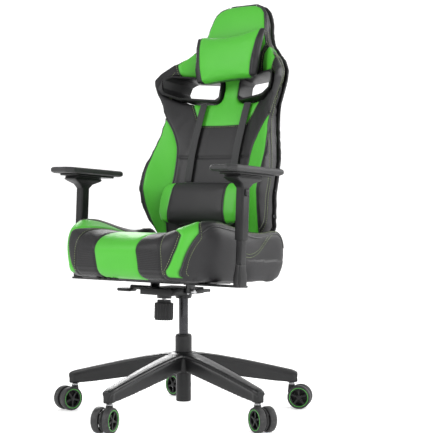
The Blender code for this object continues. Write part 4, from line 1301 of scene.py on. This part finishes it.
# ---------------------------------------------------------------- rear cover
# The back of the backrest: a thin padded leatherette cover, plain black, zipped down its sides, with
# one topstitched seam that follows the outline.
rear = soft_copy("back_rear_cover", "rear_cover", 0.0060, 8, 0.0006)
refine(rear)
place = in_space(points_of(rear), BACK_SPACE)
outline = smooth_through([
    (-0.020, 0.150), (0.060, 0.168), (0.180, 0.205), (0.300, 0.195), (0.410, 0.172), (0.500, 0.196),
    (0.560, 0.200),
    (0.600, 0.168), (0.640, 0.124), (0.700, 0.088), (0.760, 0.070), (0.800, 0.030),
])
rear_facing = normals_of(rear) @ np.array(BACK_SPACE)[:3, 1]
welt = outline(place[:, 2]) - np.abs(place[:, 0])
rear_seam = np.where(rear_facing > 0.3, np.abs(welt), 1.0)
sink_seams(rear, rear_seam, 0.0022, 0.0040)
# The seam distance also places the painted shade that darkens the cover along its welt.
for attribute, values in (
    ("green", np.full(len(welt), -1.0)), ("mesh", np.full(len(welt), -1.0)), ("seam", rear_seam),
):
    set_attribute(rear, attribute, values)
set_lay(rear, place[:, 0], place[:, 2])
rear.data.materials.append(upholstery())


def rear_shows(point):
    """Whether a place is on the rear face."""
    local = BACK_SPACE.inverted() @ Vector(point)
    return 0.02 < local.z < 0.79 and not (abs(local.z - OPENING_HEIGHT) < 0.05 and abs(local.x) < 0.20)


welt = np.where(rear_facing > 0.2, welt, -1.0)
rows = level_lines(rear, welt, rear_shows, 0.0050) + level_lines(rear, welt, rear_shows, -0.0050)
put_on(
    stitching("rear_stitching", rows, 0.0068, 0.0050, 0.00055, 0.0002, thread()), "back", "green_leather",
)
put_on(rear, "back", "black_leather", "back_rear_cover")

# ---------------------------------------------------------------- frame tube and opening rings
# The welded tube inside the foam, in view only where it enters the hinges, and the two moulded rings that
# line the shoulder openings from front to rear.


def dress(node, material):
    """Gives a CAD node its finish."""
    for slot in frame["nodes"][node].material_slots:
        slot.material = material


dress("back_frame", powder_coat())
for side in ("left", "right"):
    node = f"opening_bezel_{side}"
    put_on(
        refined(node, f"opening_ring_{side}", 0.0016, 3, moulded_plastic()), "back", "black_plastic", node,
    )

# ---------------------------------------------------------------- recline hinges
# Laser-cut steel plates turn on a chromed pin each side. The right-hand one has a long moulded lever,
# and two cap screws hold each upper plate's trim to the frame.
for side, sign in (("left", 1), ("right", -1)):
    for level in ("upper", "lower"):
        node = f"recline_bracket_{level}_{side}"
        body = "back" if level == "upper" else "seat"
        put_on(
            refined(node, f"hinge_plate_{level}_{side}", 0.0007, 2, powder_coat()), body, "black_steel",
            node,
        )
    node = f"recline_pin_{side}"
    put_on(refined(node, f"hinge_pin_{side}", 0.0008, 2, darkened_steel()), "seat", "polished_steel", node)
put_on(
    refined("recline_lever", "recline_handle", 0.0012, 2, moulded_plastic()), "recline_lever",
    "black_plastic", "recline_lever",
)
for number, (x, n, s) in enumerate(((0.2405, 0.030, 0.191), (0.2330, 0.012, 0.118))):
    for side, sign in (("left", 1), ("right", -1)):
        at = BACK_SPACE @ Vector((sign * (x - 0.0020), -n, s))
        socket_screw(
            f"trim_screw_{side}_{number}", at, (sign, 0, 0), 0.0045, 0.0022, "back", darkened_steel(),
        )

# ---------------------------------------------------------------- neck pillow
# A small fibre-filled pillow in a green cover with black end panels and pointed corners, held by an
# elastic band that passes through the shoulder openings and round the back.
NECK_VOXEL, NECK_CAP, NECK_END = 0.0045, 0.0100, 0.104
neck = soft_copy("neck_pillow", "neck_cushion", NECK_VOXEL, 5, 0.0020)
NECK_SPACE = BACK_SPACE @ Matrix.Translation((0.020, 0, 0.606)) @ Matrix.Rotation(math.radians(-4), 4, "Y")


def neck_panels(piece):
    """Across the pillow, up it, how far outside the end seams, and how far from the rim seam."""
    place = in_space(points_of(piece), NECK_SPACE)
    across, up, depth = place[:, 0], place[:, 2], -place[:, 1]
    end = np.abs(across) - (NECK_END + 0.16 * np.clip(up, -0.08, 0.08))
    rim = depth - 0.060
    return across, up, end, rim


across, up, end, rim = neck_panels(neck)
held = np.where(
    (np.abs(rim) < 0.004) & ((np.abs(across) > 0.100) | (np.abs(up) > 0.055)) | (rim < -0.010), 1.0, 0.0,
)
inflate(neck, held, 4.0, NECK_CAP)
refine(neck)
local = in_space(points_of(neck), NECK_SPACE)
corner = np.clip(np.abs(local[:, 0]) / 0.118, 0, 1) ** 3 * np.clip(np.abs(local[:, 2]) / 0.065, 0, 1) ** 2
local[:, 0] *= np.where(local[:, 0] < 0, 1.09, 1.03) + 0.06 * corner
local[:, 2] *= 1.03 + 0.16 * corner
to_world = np.array(NECK_SPACE)
set_points(neck, local @ to_world[:3, :3].T + to_world[:3, 3])
across, up, end, rim = neck_panels(neck)
rim_seam = np.where((np.abs(across) > 0.095) | (np.abs(up) > 0.050), np.abs(rim), 1.0)
distance = np.minimum(np.abs(end), rim_seam)
sink_seams(neck, distance, 0.0024, 0.0036)
set_attribute(neck, "green", np.minimum(-end, rim + 0.004))
set_attribute(neck, "mesh", np.full(len(end), -1.0))
# The seam distance also places the painted shade that darkens the cover along its seams.
set_attribute(neck, "seam", distance)
set_lay(neck, across, up)
neck.data.materials.append(upholstery())
rim_line = np.where((np.abs(across) > 0.095) | (np.abs(up) > 0.050), rim, 1.0)
cords = level_lines(neck, end) + level_lines(neck, rim_line)
put_on(piping("neck_piping", cords, 0.0018, 0.0003, piping_leather(), 0.004), "back", "black_leather")
put_on(neck, "back", "green_leather", "neck_pillow")

# ---------------------------------------------------------------- lumbar pillow
# A larger pillow of the same make: a black centre with a curved green panel at each end, hung from two
# webbing straps that run up the front of the backrest into the shoulder openings.
LUMBAR_VOXEL, LUMBAR_CAP, LUMBAR_END = 0.0050, 0.0110, 0.112
lumbar = soft_copy("lumbar_pillow", "lumbar_cushion", LUMBAR_VOXEL, 6, 0.0040)


def lumbar_panels(piece):
    """Across the pillow, up it, how far outside the end seams, and how far from the rim seam."""
    place = in_space(points_of(piece), BACK_SPACE)
    across, up, depth = place[:, 0], place[:, 2], -place[:, 1]
    seam = LUMBAR_END - 0.10 * np.clip(up - 0.072, 0, 0.14) + 0.9 * np.clip(up - 0.130, 0, 0.09) ** 2
    end = np.abs(across) - seam
    return across, up, end, depth - 0.078


across, up, end, rim = lumbar_panels(lumbar)
held = np.where((np.abs(end) < 0.004) | (rim < -0.006), 1.0, 0.0)
inflate(lumbar, held, 4.0, LUMBAR_CAP)
refine(lumbar)
across, up, end, rim = lumbar_panels(lumbar)
rim_seam = np.where((np.abs(across) > 0.140) | (np.abs(up - 0.142) > 0.060), np.abs(rim), 1.0)
distance = np.minimum(np.abs(end), rim_seam)
sink_seams(lumbar, distance, 0.0024, 0.0038)
set_attribute(lumbar, "green", np.minimum(end, rim + 0.02))
set_attribute(lumbar, "mesh", np.full(len(end), -1.0))
# The seam distance also places the painted shade that darkens the cover along its seams.
set_attribute(lumbar, "seam", distance)
set_lay(lumbar, across, up)
lumbar.data.materials.append(upholstery())
rim_line = np.where((np.abs(across) > 0.140) | (np.abs(up - 0.142) > 0.060), rim, 1.0)
cords = level_lines(lumbar, end) + level_lines(lumbar, rim_line)
put_on(piping("lumbar_piping", cords, 0.0020, 0.0003, piping_leather(), 0.004), "back", "black_leather")
put_on(lumbar, "back", "black_leather", "lumbar_pillow")

# ---------------------------------------------------------------- straps
# Flat woven polyester webbing: the lumbar pillow's two straps and the neck pillow's band behind the back.
WEB_BLACK, WEB_PALE, THREADS_PER_METRE = (0.010, 0.010, 0.011, 1.0), (0.034, 0.034, 0.036, 1.0), 620.0


def webbing():
    """Ribbed black webbing whose weave follows the strap's own directions."""
    if "webbing" in bpy.data.materials:
        return bpy.data.materials["webbing"]
    weave = Finish("webbing", sheen_weight=0.12, sheen_roughness=0.5)
    where = weave.place()
    ribs = weave.node(
        "ShaderNodeTexWave", {"wave_type": "BANDS", "bands_direction": "Z"}, {
            "Vector": where, "Scale": THREADS_PER_METRE / 6,
        }, "Fac",
    )
    warp = weave.node(
        "ShaderNodeTexWave", {"wave_type": "BANDS", "bands_direction": "X"}, {
            "Vector": where, "Scale": THREADS_PER_METRE / 9,
        }, "Fac",
    )
    fuzz = weave.noise(where, 500.0, 3.0)
    crossing = ribs * 0.6 + warp * 0.4
    colour = weave.blend(crossing * 0.7 + fuzz * 0.3, WEB_BLACK, WEB_PALE)
    return weave.show(
        base_color=colour, roughness=0.62 + fuzz * 0.2, normal=weave.relief(crossing, 0.0005, 0.7),
    )


for node in ("lumbar_strap_left", "lumbar_strap_right", "neck_pillow_band"):
    name = node.replace("lumbar_", "web_").replace("neck_pillow_", "web_")
    put_on(refined(node, name, 0.0005, 2, webbing()), "back", "black_webbing", node)

# ---------------------------------------------------------------- armrests
# Each armrest is a steel post in a moulded sleeve with a height button, and above it a plate and a track
# that let the soft polyurethane pad slide and turn.
PAD_BLACK, PAD_PALE = (0.0150, 0.0150, 0.0155, 1.0), (0.0260, 0.0260, 0.0270, 1.0)


def soft_urethane():
    """Fine-grained, slightly rubbery polyurethane skin, duller than the hard mouldings."""
    if "soft_urethane" in bpy.data.materials:
        return bpy.data.materials["soft_urethane"]
    skin = Finish("soft_urethane", coat_weight=0.05, coat_roughness=0.6)
    where = skin.place()
    grain = skin.node(
        "ShaderNodeTexVoronoi", {"feature": "F1"}, {"Vector": where, "Scale": 1400.0}, "Distance",
    )
    rub = skin.noise(where, 14.0, 4.0)
    colour = skin.blend(rub * 0.8 + grain * 0.2, PAD_BLACK, PAD_PALE)
    return skin.show(
        base_color=colour, roughness=0.50 + rub * 0.18, normal=skin.relief(grain, 0.0004, 0.35),
    )


ARM_PARTS = (
    ("armrest_bracket", "arm_foot", "seat", 0.0016, 3), ("armrest_post", "arm_post", "seat", 0.0010, 2),
    ("armrest_sleeve", "arm_sleeve", "sleeve", 0.0022, 3), ("armrest_height_button", "arm_button", "button", 0.0011, 2),
    ("armrest_lateral_plate", "arm_plate", "lateral", 0.0009, 2), ("armrest_track", "arm_track", "track", 0.0009, 2),
    ("armrest_pad_base", "arm_pad_base", "pad", 0.0012, 2),
)
for side in ("left", "right"):
    for part, name, body, bevel, segments in ARM_PARTS:
        node = f"{part}_{side}"
        steel = body == "seat"
        piece = refined(node, f"{name}_{side}", bevel, segments, powder_coat() if steel else moulded_plastic())
        rider = body if steel else f"arm_{side}_{body}"
        put_on(piece, rider, "black_steel" if steel else "black_plastic", node)
    node = f"armrest_pad_{side}"
    pad = soft_copy(node, f"arm_pad_{side}", 0.0028, 9, -0.0004)
    refine(pad)
    pad.data.materials.append(soft_urethane())
    put_on(pad, f"arm_{side}_pad", "black_plastic", node)
